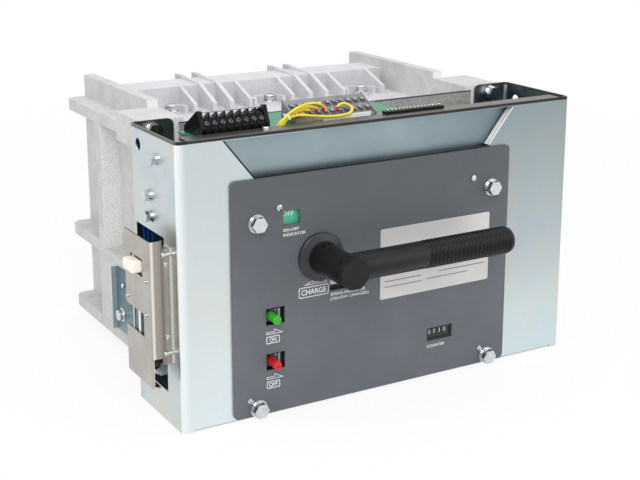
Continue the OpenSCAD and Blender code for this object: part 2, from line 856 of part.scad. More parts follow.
module side_channel_right() color("#5a7078") from_front() side_channel();

// Ledge along the right wall, its rear outer corner cut off
module side_ledge(y, z) {
    end = joint_y + frame_d;
    translate([0, 0, z]) linear_extrude(ledge_t) polygon([[wall_x, joint_y + y], [ledge_x, joint_y + y],
        [ledge_x, end - ledge_bevel], [ledge_x - ledge_bevel, end], [wall_x, end]]);
}

module side_wall() {
    difference() {
        union() {
            lengthwise(wall_x - wall_t / 2, wall_t) polygon([[0, 0], [frame_d, 0], [frame_d, frame_h],
                [block_l, frame_h], [block_l, shoulder_z], [0, shoulder_z]]);
            side_ledge(block_l, ledge_z);
            side_ledge(buttress_y, mid_z);
            side_ledge(buttress_y, foot_z);
            for (i = [0, 1]) translate([wall_x, joint_y, block_zs[i]])
                cube([wing_x - block_inset - wall_x, block_ls[i], block_hs[i]]);
            translate([wall_x, joint_y + buttress_y, foot_z])
                cube([ledge_reach, buttress_w, ledge_z - foot_z]);
            translate([wall_x, joint_y + pad_front_y, foot_z])
                cube([ledge_reach, buttress_y - pad_front_y, pad_top_z - foot_z]);
        }
        for (z = flange_bolt_zs) translate([flange_bolt_x, joint_y - over, z]) rotate([-90, 0, 0])
            cylinder(h = flange_bolt_l + 2 * over, d = bolt_d + 2 * hole_gap);
    }
}

module side_wall_right() color("#cfcfcc") from_front() side_wall();

module side_wall_left() color("#cfcfcc") from_front() mirror([1, 0, 0]) side_wall();

// Draws an outline given in depth from the joint and height as a plate of width w, centred on x
module lengthwise(x, w) {
    translate([x - w / 2, joint_y, 0]) rotate([90, 0, 90]) linear_extrude(w) children();
}

// Stepped deck: a low floor in front, a plateau behind, ribs and webs that fall away forwards
module top_deck() color("#cdccd0") from_front() {
    rib_end = deck_floor_z + rib_front_h;
    lengthwise(0, inner_w) polygon([[0, deck_bottom], [deck_d, deck_bottom], [deck_d, deck_top],
        [plateau_y, deck_top], [plateau_y, deck_floor_z], [0, deck_floor_z]]);
    for (x = barrier_xs, i = [-1, 1]) lengthwise(x + i * leaf_pitch / 2, leaf_t)
        polygon([[rib_front_y, deck_bottom], [deck_d, deck_bottom], [deck_d, deck_top + rib_rise],
            [plateau_y, deck_top + rib_rise / 2], [rib_front_y, rib_end]]);
    for (x = pole_xs, i = [-1, 1]) lengthwise(x + i * bay_web_w / 2, web_t)
        polygon([[rib_front_y, deck_bottom], [plateau_y, deck_bottom], [plateau_y, deck_top],
            [rib_front_y, rib_end]]);
    for (x = pole_xs) translate([x, joint_y + bottle_y, deck_bottom]) {
        cylinder(h = deck_floor_t + boss_h, d = boss_d);
        rotate_extrude(angle = 180) translate([collar_d / 2 - collar_t, 0])
            square([collar_t, deck_floor_t + collar_h]);
    }
}

module bottom_deck() color("#cdccd0") from_front()
    difference() {
        translate([-inner_w / 2, joint_y, 0]) cube([inner_w, deck_d, deck_t]);
        for (i = [-1, 1], j = [0, 1])
            translate([i * base_pitch_x / 2, joint_y + base_inset + j * base_pitch_y, -over])
                cylinder(h = deck_t + 2 * over, d = base_hole_d);
    }

// Half-section of a post insulator with three sheds
function post_section(h) = let (r = post_core_d / 2, s = shed_d / 2, m = (h - shed_t) / 2) [
    [0, 0], [s, 0], [s, shed_t], [r, shed_t], [r, m], [s, m], [s, m + shed_t], [r, m + shed_t],
    [r, h - shed_t], [s, h - shed_t], [s, h], [0, h]];

// Posts that hold the terminal bars off the decks
module post_insulators() color("#a8553a") from_front()
    for (x = pole_xs, z = [deck_t, upper_z + bar_t]) translate([x, joint_y + bottle_y, z])
        rotate_extrude() polygon(post_section(post_l));

module front_wall() color("#c9c9c8") from_front()
    translate([-inner_w / 2, joint_y, deck_t]) cube([inner_w, front_t, deck_bottom - deck_t]);

module phase_barrier(x) {
    for (i = [-1, 1]) translate([x + i * leaf_pitch / 2 - leaf_t / 2, joint_y, 0]) {
        translate([0, front_t, deck_t]) cube([leaf_t, deck_d - front_t, deck_bottom - deck_t]);
        translate([0, deck_d, 0]) cube([leaf_t, frame_d - deck_d - leaf_inset, deck_top + rib_rise]);
    }
}

module phase_barrier_left() color("#d2d2d3") from_front() phase_barrier(barrier_xs[0]);

module phase_barrier_right() color("#d2d2d3") from_front() phase_barrier(barrier_xs[1]);

module interrupter_bodies() color("#f0efea") from_front()
    for (x = pole_xs) translate([x, joint_y + bottle_y, bottle_z]) cylinder(h = bottle_h, d = bottle_d);

module interrupter_ends() color("#b9bdbe") from_front()
    for (x = pole_xs) translate([x, joint_y + bottle_y, 0]) {
        translate([0, 0, bottle_z - cap_h]) cylinder(h = cap_h, d = cap_d);
        translate([0, 0, bottle_z - cap_h - stem_l]) cylinder(h = stem_l, d = stem_d);
        translate([0, 0, bottle_z + bottle_h]) {
            cylinder(h = cap_h, d = cap_d);
            translate([0, 0, cap_h]) cylinder(h = stem_l, d = stem_d);
        }
    }

// Terminal bar with an upright pad at its rear end; dir is 1 for a pad that rises, -1 for one that drops
module terminal(z, dir) {
    for (x = pole_xs) translate([x - bar_w / 2, joint_y, z]) {
        translate([0, bottle_y - bar_front, 0]) cube([bar_w, pad_y - bottle_y + bar_front, bar_t]);
        difference() {
            translate([0, pad_y - bar_t, dir > 0 ? 0 : bar_t - pad_h]) cube([bar_w, bar_t, pad_h]);
            translate([bar_w / 2, pad_y - bar_t - over, bar_t / 2 + dir * pad_h / 2]) rotate([-90, 0, 0])
                cylinder(h = bar_t + 2 * over, d = terminal_hole_d);
        }
    }
}

module upper_terminals() color("#b87a4b") from_front() terminal(upper_z, 1);

module lower_terminals() color("#b87a4b") from_front() terminal(lower_z, -1);

housing();
housing_wing_left();
housing_wing_right();
recess_panel();
fascia();
nameplate();
fascia_bolts();
flange_bolts();
side_bolts();
shaft_bush();
charging_shaft();
handle_hub();
handle_grip();
on_lever();
off_lever();
lever_guide();
indicator_flag();
spring_flag();
counter();
mechanism_back_plate();
mechanism_cheeks();
control_tray();
control_board();
board_posts();
terminal_block();
terminal_rack();
edge_strip();
control_leads();
side_leads();
interlock_angle();
interlock_plate();
interlock_slide();
interlock_knob();
side_channel_left();
side_channel_right();
side_wall_left();
side_wall_right();
top_deck();
bottom_deck();
front_wall();
phase_barrier_left();
phase_barrier_right();
post_insulators();
interrupter_bodies();
interrupter_ends();
upper_terminals();
lower_terminals();
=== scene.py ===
import math

import bmesh
import bpy
from mathutils import Matrix, Vector


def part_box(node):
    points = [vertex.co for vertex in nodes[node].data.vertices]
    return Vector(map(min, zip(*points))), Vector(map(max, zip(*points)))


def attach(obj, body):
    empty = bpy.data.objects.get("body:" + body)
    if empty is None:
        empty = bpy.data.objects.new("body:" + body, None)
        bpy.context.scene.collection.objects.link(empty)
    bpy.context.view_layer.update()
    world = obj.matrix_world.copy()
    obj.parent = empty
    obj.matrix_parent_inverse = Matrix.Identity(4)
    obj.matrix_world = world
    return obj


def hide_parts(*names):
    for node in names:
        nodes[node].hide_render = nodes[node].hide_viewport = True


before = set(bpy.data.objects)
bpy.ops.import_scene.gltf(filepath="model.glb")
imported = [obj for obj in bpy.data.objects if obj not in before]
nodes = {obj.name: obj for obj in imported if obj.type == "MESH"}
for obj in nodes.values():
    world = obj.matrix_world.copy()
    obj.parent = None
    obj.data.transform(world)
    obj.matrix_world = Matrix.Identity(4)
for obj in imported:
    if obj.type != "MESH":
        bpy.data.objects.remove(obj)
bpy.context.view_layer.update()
scene = bpy.context.scene
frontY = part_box("housing")[0].y        # the housing's front face, from which depths are measured
mm = 0.001
print("frame loaded,", len(nodes), "nodes")


def at(x, y, z):                       # millimetres from the housing's front face, to metres in the frame
    return Vector((x / 1000, frontY + y / 1000, z / 1000))


def colour(code):                      # sRGB hex to linear
    parts = [int(code[i:i + 2], 16) / 255 for i in (1, 3, 5)]
    return [p / 12.92 if p <= 0.04045 else ((p + 0.055) / 1.055) ** 2.4 for p in parts] + [1]


# camera: a little to the left and above, as the photograph was taken
cameraSet = {"place": (-781.7, -1184.1, 614.3), "turn": 30.2, "tilt": 14.0, "lens": 71.03, "sensor": 36,
             "shift": -0.1, "reach": 30}
bpy.ops.object.select_all(action="DESELECT")
bpy.ops.object.camera_add(location=at(*cameraSet["place"]))
camera = bpy.context.object
camera.name = "studioCamera"
camera.rotation_euler = (math.radians(90 - cameraSet["tilt"]), 0, -math.radians(cameraSet["turn"]))
camera.data.lens = cameraSet["lens"]
camera.data.sensor_width = cameraSet["sensor"]
camera.data.shift_y = cameraSet["shift"]
camera.data.clip_end = cameraSet["reach"]
scene.camera = camera
scene.view_settings.view_transform = "Standard"
print("camera set")


def addNode(tree, kind, inputs=None, stops=(), **settings):
    # an input is a value, or a (node, output) pair to link from; stops are a ramp's places and tones
    node = tree.nodes.new(kind)
    for key, value in settings.items():
        setattr(node, key, value)
    for i, (where, tone) in enumerate(stops):
        stop = node.color_ramp.elements[i] if i < 2 else node.color_ramp.elements.new(where)
        stop.position = where
        stop.color = colour(tone) if isinstance(tone, str) else [tone, tone, tone, 1]
    for key, value in (inputs or {}).items():
        if isinstance(value, tuple) and isinstance(value[0], bpy.types.Node):
            tree.links.new(value[0].outputs[value[1]], node.inputs[key])
        else:
            node.inputs[key].default_value = value
    return node


def newMaterial(name):
    made = bpy.data.materials.new(name)
    made.use_nodes = True
    made.node_tree.nodes.clear()
    place = addNode(made.node_tree, "ShaderNodeTexCoord")
    return made, made.node_tree, (place, "Object")


def perMetre(size):                    # a pattern of this many millimetres, as a texture scale
    return 1000 / size


def spread(tones):                     # tones set evenly over the range that a noise really reaches
    return [(0.28 + 0.44 * i / max(1, len(tones) - 1), tone) for i, tone in enumerate(tones)]


def closeMaterial(tree, inputs, bumpHeight, bumpDepth):      # depth in millimetres
    bump = addNode(tree, "ShaderNodeBump", {"Height": bumpHeight, "Distance": bumpDepth / 1000,
                                            "Strength": 1.0})
    inputs["Normal"] = (bump, "Normal")
    shader = addNode(tree, "ShaderNodeBsdfPrincipled", inputs)
    addNode(tree, "ShaderNodeOutputMaterial", {"Surface": (shader, "BSDF")})


def beyond(tree, place, axis, edge, soft, absolute=False, share=1.0):
    # 0 below a place along one axis and 1 above it, over a soft edge of some millimetres
    apart = addNode(tree, "ShaderNodeSeparateXYZ", {"Vector": place})
    value = (apart, axis)
    if absolute:
        value = (addNode(tree, "ShaderNodeMath", {0: value}, operation="ABSOLUTE"), "Value")
    step = addNode(tree, "ShaderNodeMapRange", {"Value": value, "From Min": edge - soft * mm / 2,
                                                "From Max": edge + soft * mm / 2, "To Max": share})
    return (step, "Result")


def changed(tree, place, skin, changes):
    # past a place along one axis the skin takes another tone, or its first one again, by a share;
    # each change is axis, place, soft edge, tone and share, and a soft edge below zero turns the side round
    first = skin
    for axis, edge, soft, tone, share in changes:
        start = {"X": at(edge, 0, 0).x, "Y": at(0, edge, 0).y, "Z": at(0, 0, edge).z}[axis]
        step = beyond(tree, place, axis, start, soft, share=share)
        other = colour(tone) if tone else first
        mix = addNode(tree, "ShaderNodeMix", {"Factor": step, "A": skin, "B": other}, data_type="RGBA")
        skin = (mix, "Result")
    return skin


def moulding(name, tones, rough, grit, depth, ior=1.5, patch=40.0, coat=0.0, changes=()):
    # moulded or painted skin: faint patches of tone, and a fine die texture that breaks the shine;
    # the texture is drawn coarser than the real tenth of a millimetre, so that it shows
    made, tree, place = newMaterial(name)
    cloud = addNode(tree, "ShaderNodeTexNoise", {"Vector": place, "Scale": perMetre(patch), "Detail": 3.0})
    fine = addNode(tree, "ShaderNodeTexNoise", {"Vector": place, "Scale": perMetre(grit), "Detail": 2.0})
    gloss = addNode(tree, "ShaderNodeValToRGB", {"Fac": (fine, "Fac")},
                    [(0.3, rough - 0.06), (0.7, rough + 0.06)])
    tint = addNode(tree, "ShaderNodeValToRGB", {"Fac": (cloud, "Fac")}, [(0.35, tones[0]), (0.65, tones[1])])
    skin = changed(tree, place, (tint, "Color"), changes)
    closeMaterial(tree, {"Base Color": skin, "Roughness": (gloss, "Color"), "IOR": ior, "Coat Weight": coat},
                  (fine, "Fac"), depth)
    return made


# the folded shell in millimetres: half its width, sheet, bend, depth, and where the lip begins
shell = {"half": 267.0, "skin": 0.8, "bend": 5.4, "depth": 126.0, "lip": 326.6, "edge": 0.2, "lipEdge": 1.0}


def insideShell(tree, place):
    # 1 on the housing's inner faces, lip and flanges, where the painted shade goes; 0 on its outer skin and
    # round its upright bends
    outer = beyond(tree, place, "X", (shell["half"] - shell["skin"]) * mm, shell["edge"], True)
    nearBend = beyond(tree, place, "X", (shell["half"] - shell["bend"]) * mm, shell["edge"], True)
    behind = beyond(tree, place, "Y", at(0, shell["skin"], 0).y, shell["skin"])
    pastBend = beyond(tree, place, "Y", at(0, shell["bend"], 0).y, shell["edge"])
    rearBend = beyond(tree, place, "Y", at(0, shell["depth"] - shell["bend"], 0).y, shell["edge"])
    lip = beyond(tree, place, "Z", shell["lip"] * mm, shell["lipEdge"])
    between = addNode(tree, "ShaderNodeMath", {0: pastBend, 1: rearBend}, operation="SUBTRACT")
    bends = addNode(tree, "ShaderNodeMath", {0: 1.0, 1: (between, "Value")}, operation="SUBTRACT")
    corner = addNode(tree, "ShaderNodeMath", {0: nearBend, 1: (bends, "Value")}, operation="MULTIPLY")
    side = addNode(tree, "ShaderNodeMath", {0: outer, 1: (corner, "Value")}, operation="MAXIMUM")
    cover = addNode(tree, "ShaderNodeMath", {0: 1.0, 1: (side, "Value")}, operation="SUBTRACT")
    back = addNode(tree, "ShaderNodeMath", {0: (cover, "Value"), 1: behind}, operation="MULTIPLY")
    return (addNode(tree, "ShaderNodeMath", {0: (back, "Value"), 1: lip}, operation="MAXIMUM"), "Value")


def stainAndShade(tree, place, tones):       # clouds some 45 mm wide in the given tones: rainbow stain tints over the painted shade inside
    film = addNode(tree, "ShaderNodeTexNoise", {"Vector": place, "Scale": perMetre(45), "Detail": 3.0,
                                                "Distortion": 0.8})
    return (addNode(tree, "ShaderNodeValToRGB", {"Fac": (film, "Fac")}, spread(tones)), "Color")


def sheetMetal(name, tones, rough, stretch, grain, metallic=1.0, patch=70.0, inner=None, changes=()):
    # rolled, turned or plated metal: soft tinted clouds, and a fine grain along one way that draws out
    # the shine; the grain is drawn coarser than the real one of some hundredths, so that it shows
    made, tree, place = newMaterial(name)
    cloud = addNode(tree, "ShaderNodeTexNoise", {"Vector": place, "Scale": perMetre(patch), "Detail": 4.0,
                                                 "Roughness": 0.55})
    along = addNode(tree, "ShaderNodeMapping", {"Vector": place, "Scale": stretch})
    fine = addNode(tree, "ShaderNodeTexNoise", {"Vector": (along, "Vector"), "Scale": perMetre(grain),
                                                "Detail": 3.0})
    gloss = addNode(tree, "ShaderNodeValToRGB", {"Fac": (fine, "Fac")},
                    [(0.25, rough - 0.07), (0.75, rough + 0.07)])
    tint = addNode(tree, "ShaderNodeValToRGB", {"Fac": (cloud, "Fac")}, spread(tones))
    skin = changed(tree, place, (tint, "Color"), changes)
    if inner:                          # tones and changes of the painted shade, with rainbow stain tints, on the folded shell's inside
        shadedInside = changed(tree, place, stainAndShade(tree, place, inner[0]), inner[1])
        mix = addNode(tree, "ShaderNodeMix", {"Factor": insideShell(tree, place), "A": skin, "B": shadedInside},
                      data_type="RGBA")
        skin = (mix, "Result")
    closeMaterial(tree, {"Base Color": skin, "Metallic": metallic, "Roughness": (gloss, "Color")},
                  (fine, "Fac"), 0.02)
    return made


def compound(name, base, dark, pale, speck, depth, rough=0.62, litGrain=None):
    # bulk moulding compound: chopped glass shows as pale and dark specks in the resin skin, and flow marks
    # as clouds; the specks are drawn wider than the real fibres, so that they show
    made, tree, place = newMaterial(name)
    cloud = addNode(tree, "ShaderNodeTexNoise", {"Vector": place, "Scale": perMetre(38), "Detail": 5.0,
                                                 "Roughness": 0.62, "Distortion": 0.9})
    specks = addNode(tree, "ShaderNodeTexNoise", {"Vector": place, "Scale": perMetre(speck), "Detail": 3.0,
                                                  "Roughness": 0.7})
    grains = addNode(tree, "ShaderNodeTexVoronoi", {"Vector": place, "Scale": perMetre(speck * 1.6)})
    tint = addNode(tree, "ShaderNodeValToRGB", {"Fac": (specks, "Fac")},
                   [(0.30, dark), (0.42, base), (0.60, base), (0.72, pale)])
    soft = addNode(tree, "ShaderNodeValToRGB", {"Fac": (cloud, "Fac")},
                   [(0.36, dark), (0.48, base), (0.54, pale), (0.62, base)])
    gloss = addNode(tree, "ShaderNodeValToRGB", {"Fac": (grains, "Distance")},
                    [(0.0, rough - 0.1), (1.0, rough + 0.12)])
    mix = addNode(tree, "ShaderNodeMix", {"Factor": 0.6, "A": (tint, "Color"), "B": (soft, "Color")},
                  data_type="RGBA")
    skin = (mix, "Result")
    if litGrain:                         # the faces that look forward take the mould's coarse grain, painted paler as painted light
        apart = addNode(tree, "ShaderNodeSeparateXYZ", {"Vector": (place[0], "Normal")})
        ahead = addNode(tree, "ShaderNodeMapRange", {"Value": (apart, "Y"), "From Min": -0.6,
                                                     "From Max": -0.9})
        grain = addNode(tree, "ShaderNodeValToRGB", {"Fac": (specks, "Fac")},
                        [(0.36, litGrain[0]), (0.46, litGrain[1]), (0.56, litGrain[2])])
        mix = addNode(tree, "ShaderNodeMix", {"Factor": (ahead, "Result"), "A": skin, "B": (grain, "Color")},
                      data_type="RGBA")
        skin = (mix, "Result")
    closeMaterial(tree, {"Base Color": skin, "Roughness": (gloss, "Color")}, (specks, "Fac"), depth)
    return made


even = (1, 1, 1)                       # a grain with no way to it
finishes = {
    # zinc-plated, clear-passivated steel: cool grey with faint blue and straw clouds; on the front, painted
    # reflections darken it towards the top and pale it below, with painted light to the left, a painted
    # highlight round the left bend and painted shade on the right bend; inside, painted shade with rainbow
    # stain tints
    "zincSheet": sheetMetal(
        "zincPlatedSheet", ["#bac9d2", "#cad3d6", "#d2d3ca", "#bfced9"], 0.38, (1, 1, 0.06), 0.8, patch=110,
        # painted reflections: darker towards the top of the front, paler and bluer below
        changes=[("Z", 200, 280, "#708289", 0.85), ("Z", 60, -120, "#cfe2e9", 0.8),
                 # painted light to the left, a painted highlight round the left bend, painted shade on the
                 # right bend, on the front only
                 ("X", -130, -120, "#eef5f6", 0.5), ("X", -260.0, -8.0, "#f3f8f8", 0.8),
                 ("X", 264.4, 1.2, "#7f8b90", 0.9), ("Y", 4.6, 1.2, None, 1.0)],
        # painted shade inside the shell, with rainbow stain tints: darkest low down and just behind the
        # front, and a painted reflection on the lip's top
        inner=(["#5a5250", "#5c6769", "#66767a", "#72838a", "#5c6a72", "#6d766d"],
               [("Z", 120, -60, "#191818", 0.92), ("Z", 326.6, 1.0, "#6a635f", 0.8),
                ("Y", 2.4, -1.0, "#211f1e", 0.85)])),
    # the same plating as a copy darkened by painted shade, for the panels that lie in shade: an even
    # blue-grey, with more painted shade towards the right
    "zincShade": sheetMetal(
        "zincPlatedPanelShade", ["#87979e", "#91a1a7", "#8c9ca2"], 0.42, (0.06, 1, 1), 0.8, patch=120,
        changes=[("X", 110, 180, "#687a80", 0.9)]),
    # stoved satin enamel: dark grey with a low, even sheen, and painted shade darkening it towards the top
    "fasciaEnamel": moulding("satinEnamel", ["#61656b", "#676b71"], 0.48, 0.9, 0.012, 1.4, 55,
                             changes=[("Z", 190, 180, "#4f5358", 0.8)]),
    # brushed label stock: pale warm silver with lines along its length
    "labelStock": sheetMetal("silverLabelStock", ["#cbc9c8", "#d6d4d3"], 0.45, (0.05, 1, 1), 0.7, 0.35),
    # bright zinc on small fasteners: nearly a mirror, a little clouded
    "boltPlate": sheetMetal("brightBoltPlate", ["#b9bdbf", "#dcdfe0"], 0.16, even, 1.2, patch=9),
    # the same on the fascia's bolts: bright faces and washers, with painted shade on the greyer flanks and in
    # the dark lines where they meet
    "headPlate": sheetMetal(
        "hexPlatePaintedShade", ["#c3c7c9", "#dfe2e3"], 0.16, even, 1.2, patch=9,
        changes=[("Y", -13.3, 0.2, "#6d7275", 0.6), ("Y", -7.7, 0.1, "#2c2f31", 0.9),
                 ("Y", -7.25, 0.1, None, 1.0), ("Y", -5.5, 0.1, "#2c2f31", 0.8),
                 ("Y", -5.05, 0.1, None, 1.0)]),
    # clear zinc on terminal screws: grey, bright only on edges
    "rackScrew": sheetMetal("clearZincScrew", ["#6f7478", "#a9aeb1"], 0.26, even, 1.0, patch=4),
    # nickel gone dull: dark, with a soft glint
    "clampNickel": sheetMetal("dullNickel", ["#3a3d3f", "#585c5e"], 0.30, even, 1.0, patch=5),
    # moulded phenolic: dark grey with a broad satin shine
    "bushPhenolic": moulding("blackPhenolic", ["#232527", "#2e3032"], 0.34, 1.1, 0.015, 1.42, 20),
    # ground steel: mid grey, its shine drawn out by the grinding
    "groundSteel": sheetMetal("groundSteel", ["#8b8f92", "#9da1a4"], 0.30, (1, 1, 0.05), 0.6, patch=20),
    # black powder coat: deep black with a dull, faintly pebbled sheen
    "handlePaint": moulding("blackPowderCoat", ["#0e0e0e", "#151516"], 0.42, 0.8, 0.02, 1.35, 30),
    # moulded grip rubber: black, with a thin line of shine on each ring
    "gripRubber": moulding("blackGripRubber", ["#0a0a0a", "#101010"], 0.38, 0.7, 0.01, 1.30, 18),
    # moulded nylon pegs: clear strong colour with a soft gloss; the slide behind the fascia is painted black
    # as painted shade
    "greenPeg": moulding("greenPegNylon", ["#27a320", "#38bb30"], 0.30, 0.8, 0.008, patch=6,
                         changes=[("Y", 1.0, 0.4, "#17181a", 1.0)]),
    "redPeg": moulding("redPegNylon", ["#c2141c", "#d62229"], 0.30, 0.8, 0.008, patch=6,
                       changes=[("Y", 1.0, 0.4, "#17181a", 1.0)]),
    # flag paint: flat sea green, and flat black with a white upper part
    "greenFlag": moulding("greenFlagPaint", ["#45ad88", "#57bf9b"], 0.55, 0.8, 0.006, patch=12),
    "whiteFlag": moulding("whiteFlagPaint", ["#121314", "#17181a"], 0.55, 0.8, 0.006, patch=12,
                          changes=[("Z", 141.5, 0.4, "#dcddda", 1.0)]),
    # moulded ABS: near black with a satin skin
    "counterBlack": moulding("counterBlackAbs", ["#181a1b", "#232526"], 0.42, 0.6, 0.006, patch=10),
    # solder mask on glass laminate: deep green gloss over the weave, here 2.5 mm, coarser than real
    "boardMask": moulding("boardSolderMask", ["#0f7a55", "#178a63"], 0.36, 2.5, 0.03, 1.4, 9),
    # turned brass: yellow, with rings of tool marks
    "brassPost": sheetMetal("turnedBrass", ["#c0a45c", "#cdb36c"], 0.30, (1, 1, 6), 0.6, patch=8),
    # moulded nylon: black that takes little light
    "terminalNylon": moulding("blackTerminalNylon", ["#090b0c", "#0f1213"], 0.32, 0.7, 0.012, 1.26, 12),
    # grey polycarbonate: warm grey with a clear gloss, and a darker copy of it as painted shade in the wells
    "rackGrey": moulding("greyPolycarbonate", ["#767371", "#868381"], 0.34, 0.9, 0.008, patch=16),
    "rackWell": moulding("shadedPolycarbonate", ["#46484a", "#56585a"], 0.36, 0.9, 0.008, patch=4),
    # satin stainless sheet: warm grey with upright grain; painted highlights on its bends and edges, painted
    # shade across the folded flange and on its inner faces; on the strip, painted shade at its left and a
    # painted highlight on its right edge
    "stainless": sheetMetal(
        "satinStainless", ["#aaa49d", "#bdb8b2"], 0.34, (1, 1, 0.05), 0.6, patch=30,
        changes=[("X", -292.6, 0.4, "#e4dfd9", 1.0), ("X", -289.8, 1.6, "#a29b94", 1.0),
                 ("X", -283.4, 4.0, "#8f8882", 0.8), ("X", -279.6, 0.6, "#efebe6", 1.0),
                 ("Y", 17.0, 0.2, "#45423f", 1.0), ("X", -293.0, -0.2, None, 1.0)]),
    "stainlessStrip": sheetMetal(
        "satinStainlessStrip", ["#a39d96", "#b9b4ae"], 0.32, (1, 1, 0.05), 0.6, patch=18,
        changes=[("X", -275.0, -4.0, "#79736d", 0.8), ("X", -268.8, 0.6, "#f0ece7", 1.0)]),
    # moulded urea: warm cream with a clear, soft gloss
    "knobCream": moulding("creamUrea", ["#f6ece0", "#fbf5ed"], 0.30, 0.9, 0.008, patch=8, coat=0.2),
    # blue-passivated zinc: dark blue-grey channels, their cut edges painted pale as painted highlights, and
    # painted light towards the foot
    "bluedZinc": sheetMetal(
        "bluePassivatedZinc", ["#48606a", "#5b747d", "#506770"], 0.34, (1, 1, 0.08), 0.8, 0.75, 25,
        changes=[("X", -247.9, -0.2, "#d3dfe4", 1.0), ("X", 247.9, 0.2, "#d3dfe4", 1.0),
                 ("Y", 253.8, 0.2, "#d3dfe4", 1.0), ("Z", 60, -44, "#8ea3ab", 0.6)]),
    # blued slide steel: blue-grey, painted black towards its foot as painted shade
    "slideSteel": sheetMetal("darkSlideSteel", ["#5b7078", "#6b8088"], 0.34, (1, 1, 0.08), 0.8, patch=25,
                             changes=[("Z", 92, -8, "#17191a", 1.0)]),
    # moulding compound: pale grey with flow marks, and on the faces that look forward a salt-and-pepper
    # grain, painted paler as painted light
    "frameCompound": compound("greyMouldingCompound", "#c9c9c7", "#bfbec0", "#d6d6d4", 1.6, 0.12,
                              litGrain=["#cccbc8", "#e2e2e0", "#f7f7f6"]),
    # the deck's compound: smoother, paler and a touch violet
    "deckCompound": compound("paleDeckCompound", "#d2d1d4", "#cac9cd", "#dbdadd", 2.2, 0.03, 0.5),
    # cast resin: brick red under a thin gloss
    "postResin": moulding("redResin", ["#9c4c33", "#ae5c42"], 0.34, 0.9, 0.01, patch=14, coat=0.2),
    # glazed ceramic: warm white with a sharp shine
    "ceramic": moulding("whiteGlaze", ["#efeee8", "#f6f5f1"], 0.16, 3.0, 0.02, patch=30, coat=0.5),
    # turned stainless: light grey with fine rings
    "endCapSteel": sheetMetal("stainlessEndCap", ["#b2b6b7", "#c2c6c7"], 0.30, (1, 1, 8), 0.6, patch=20),
    # plain copper bar: orange-brown with browner tarnish
    "copperBar": sheetMetal("plainCopper", ["#ad7046", "#c28656", "#a3683f"], 0.33, (0.06, 0.06, 1), 0.8,
                            patch=24),
    # PVC insulation: even strong colour with a waxy shine
    "yellowPvc": moulding("yellowLeadPvc", ["#ebce14", "#f4dc33"], 0.38, 0.9, 0.01, patch=9),
    "bluePvc": moulding("blueLeadPvc", ["#0f57a8", "#1a68bb"], 0.38, 0.9, 0.01, patch=9),
    # moulded nylon ferrules: wine red
    "redFerrule": moulding("redFerruleNylon", ["#b01436", "#c41f42"], 0.36, 0.8, 0.008, patch=5),
    # screen-printed inks: flat white, pale green, grey and dark grey with no shine
    "whiteInk": moulding("whiteLegendInk", ["#dfe0e0", "#ececec"], 0.55, 0.6, 0.003, patch=10),
    "paleFlagInk": moulding("paleGreenInk", ["#bdf0de", "#cdf6e8"], 0.55, 0.6, 0.003, patch=8),
    "counterInk": moulding("greyDigitInk", ["#a9acae", "#bcbfc1"], 0.50, 0.6, 0.003, patch=4),
    "darkInk": moulding("darkPlateInk", ["#55575a", "#626467"], 0.55, 0.6, 0.003, patch=12),
    # marker card: flat clean white
    "markerWhite": moulding("whiteMarkerCard", ["#eceded", "#f6f6f5"], 0.50, 0.8, 0.004, patch=14),
    # ABS frames round the digits: a shade paler than the counter
    "counterEdge": moulding("counterFrameAbs", ["#33373a", "#3f4447"], 0.40, 0.6, 0.004, patch=6),
    # cut edge of plated sheet where it turns to the light, painted white as a painted highlight
    "paintedEdgeHighlight": sheetMetal("whiteEdgePaintedHighlight", ["#fafcfc", "#ffffff"], 0.40, even, 0.8, 0.0, 20),
    # black oxide on steel: near black with a thin glint
    "blackOxide": sheetMetal("blackOxideSteel", ["#1c1d1e", "#2a2b2d"], 0.30, even, 0.8, 0.8, 5),
}

# galvanised sheet: crystals of zinc some 3 mm across, each at its own brightness, and a dark violet tone
# above its top edge line
galvanised = {"spangle": 3, "tones": ("#a3a09b", "#bab7b1"), "rim": 322.6, "rimEdge": 0.6,
              "rimTone": "#4d4560"}
made, tree, place = newMaterial("galvanisedSheet")
spangle = addNode(tree, "ShaderNodeTexVoronoi", {"Vector": place, "Scale": perMetre(galvanised["spangle"])})
tone = addNode(tree, "ShaderNodeValToRGB", {"Fac": (spangle, "Color")},
               [(0.2, galvanised["tones"][0]), (0.8, galvanised["tones"][1])])
rim = beyond(tree, place, "Z", galvanised["rim"] * mm, galvanised["rimEdge"])
mix = addNode(tree, "ShaderNodeMix", {"Factor": rim, "A": (tone, "Color"),
                                      "B": colour(galvanised["rimTone"])}, data_type="RGBA")
gloss = addNode(tree, "ShaderNodeValToRGB", {"Fac": (spangle, "Color")}, [(0.2, 0.44), (0.8, 0.60)])
closeMaterial(tree, {"Base Color": (mix, "Result"), "Metallic": 0.4, "Roughness": (gloss, "Color")},
              (spangle, "Distance"), 0.03)
finishes["galvanised"] = made

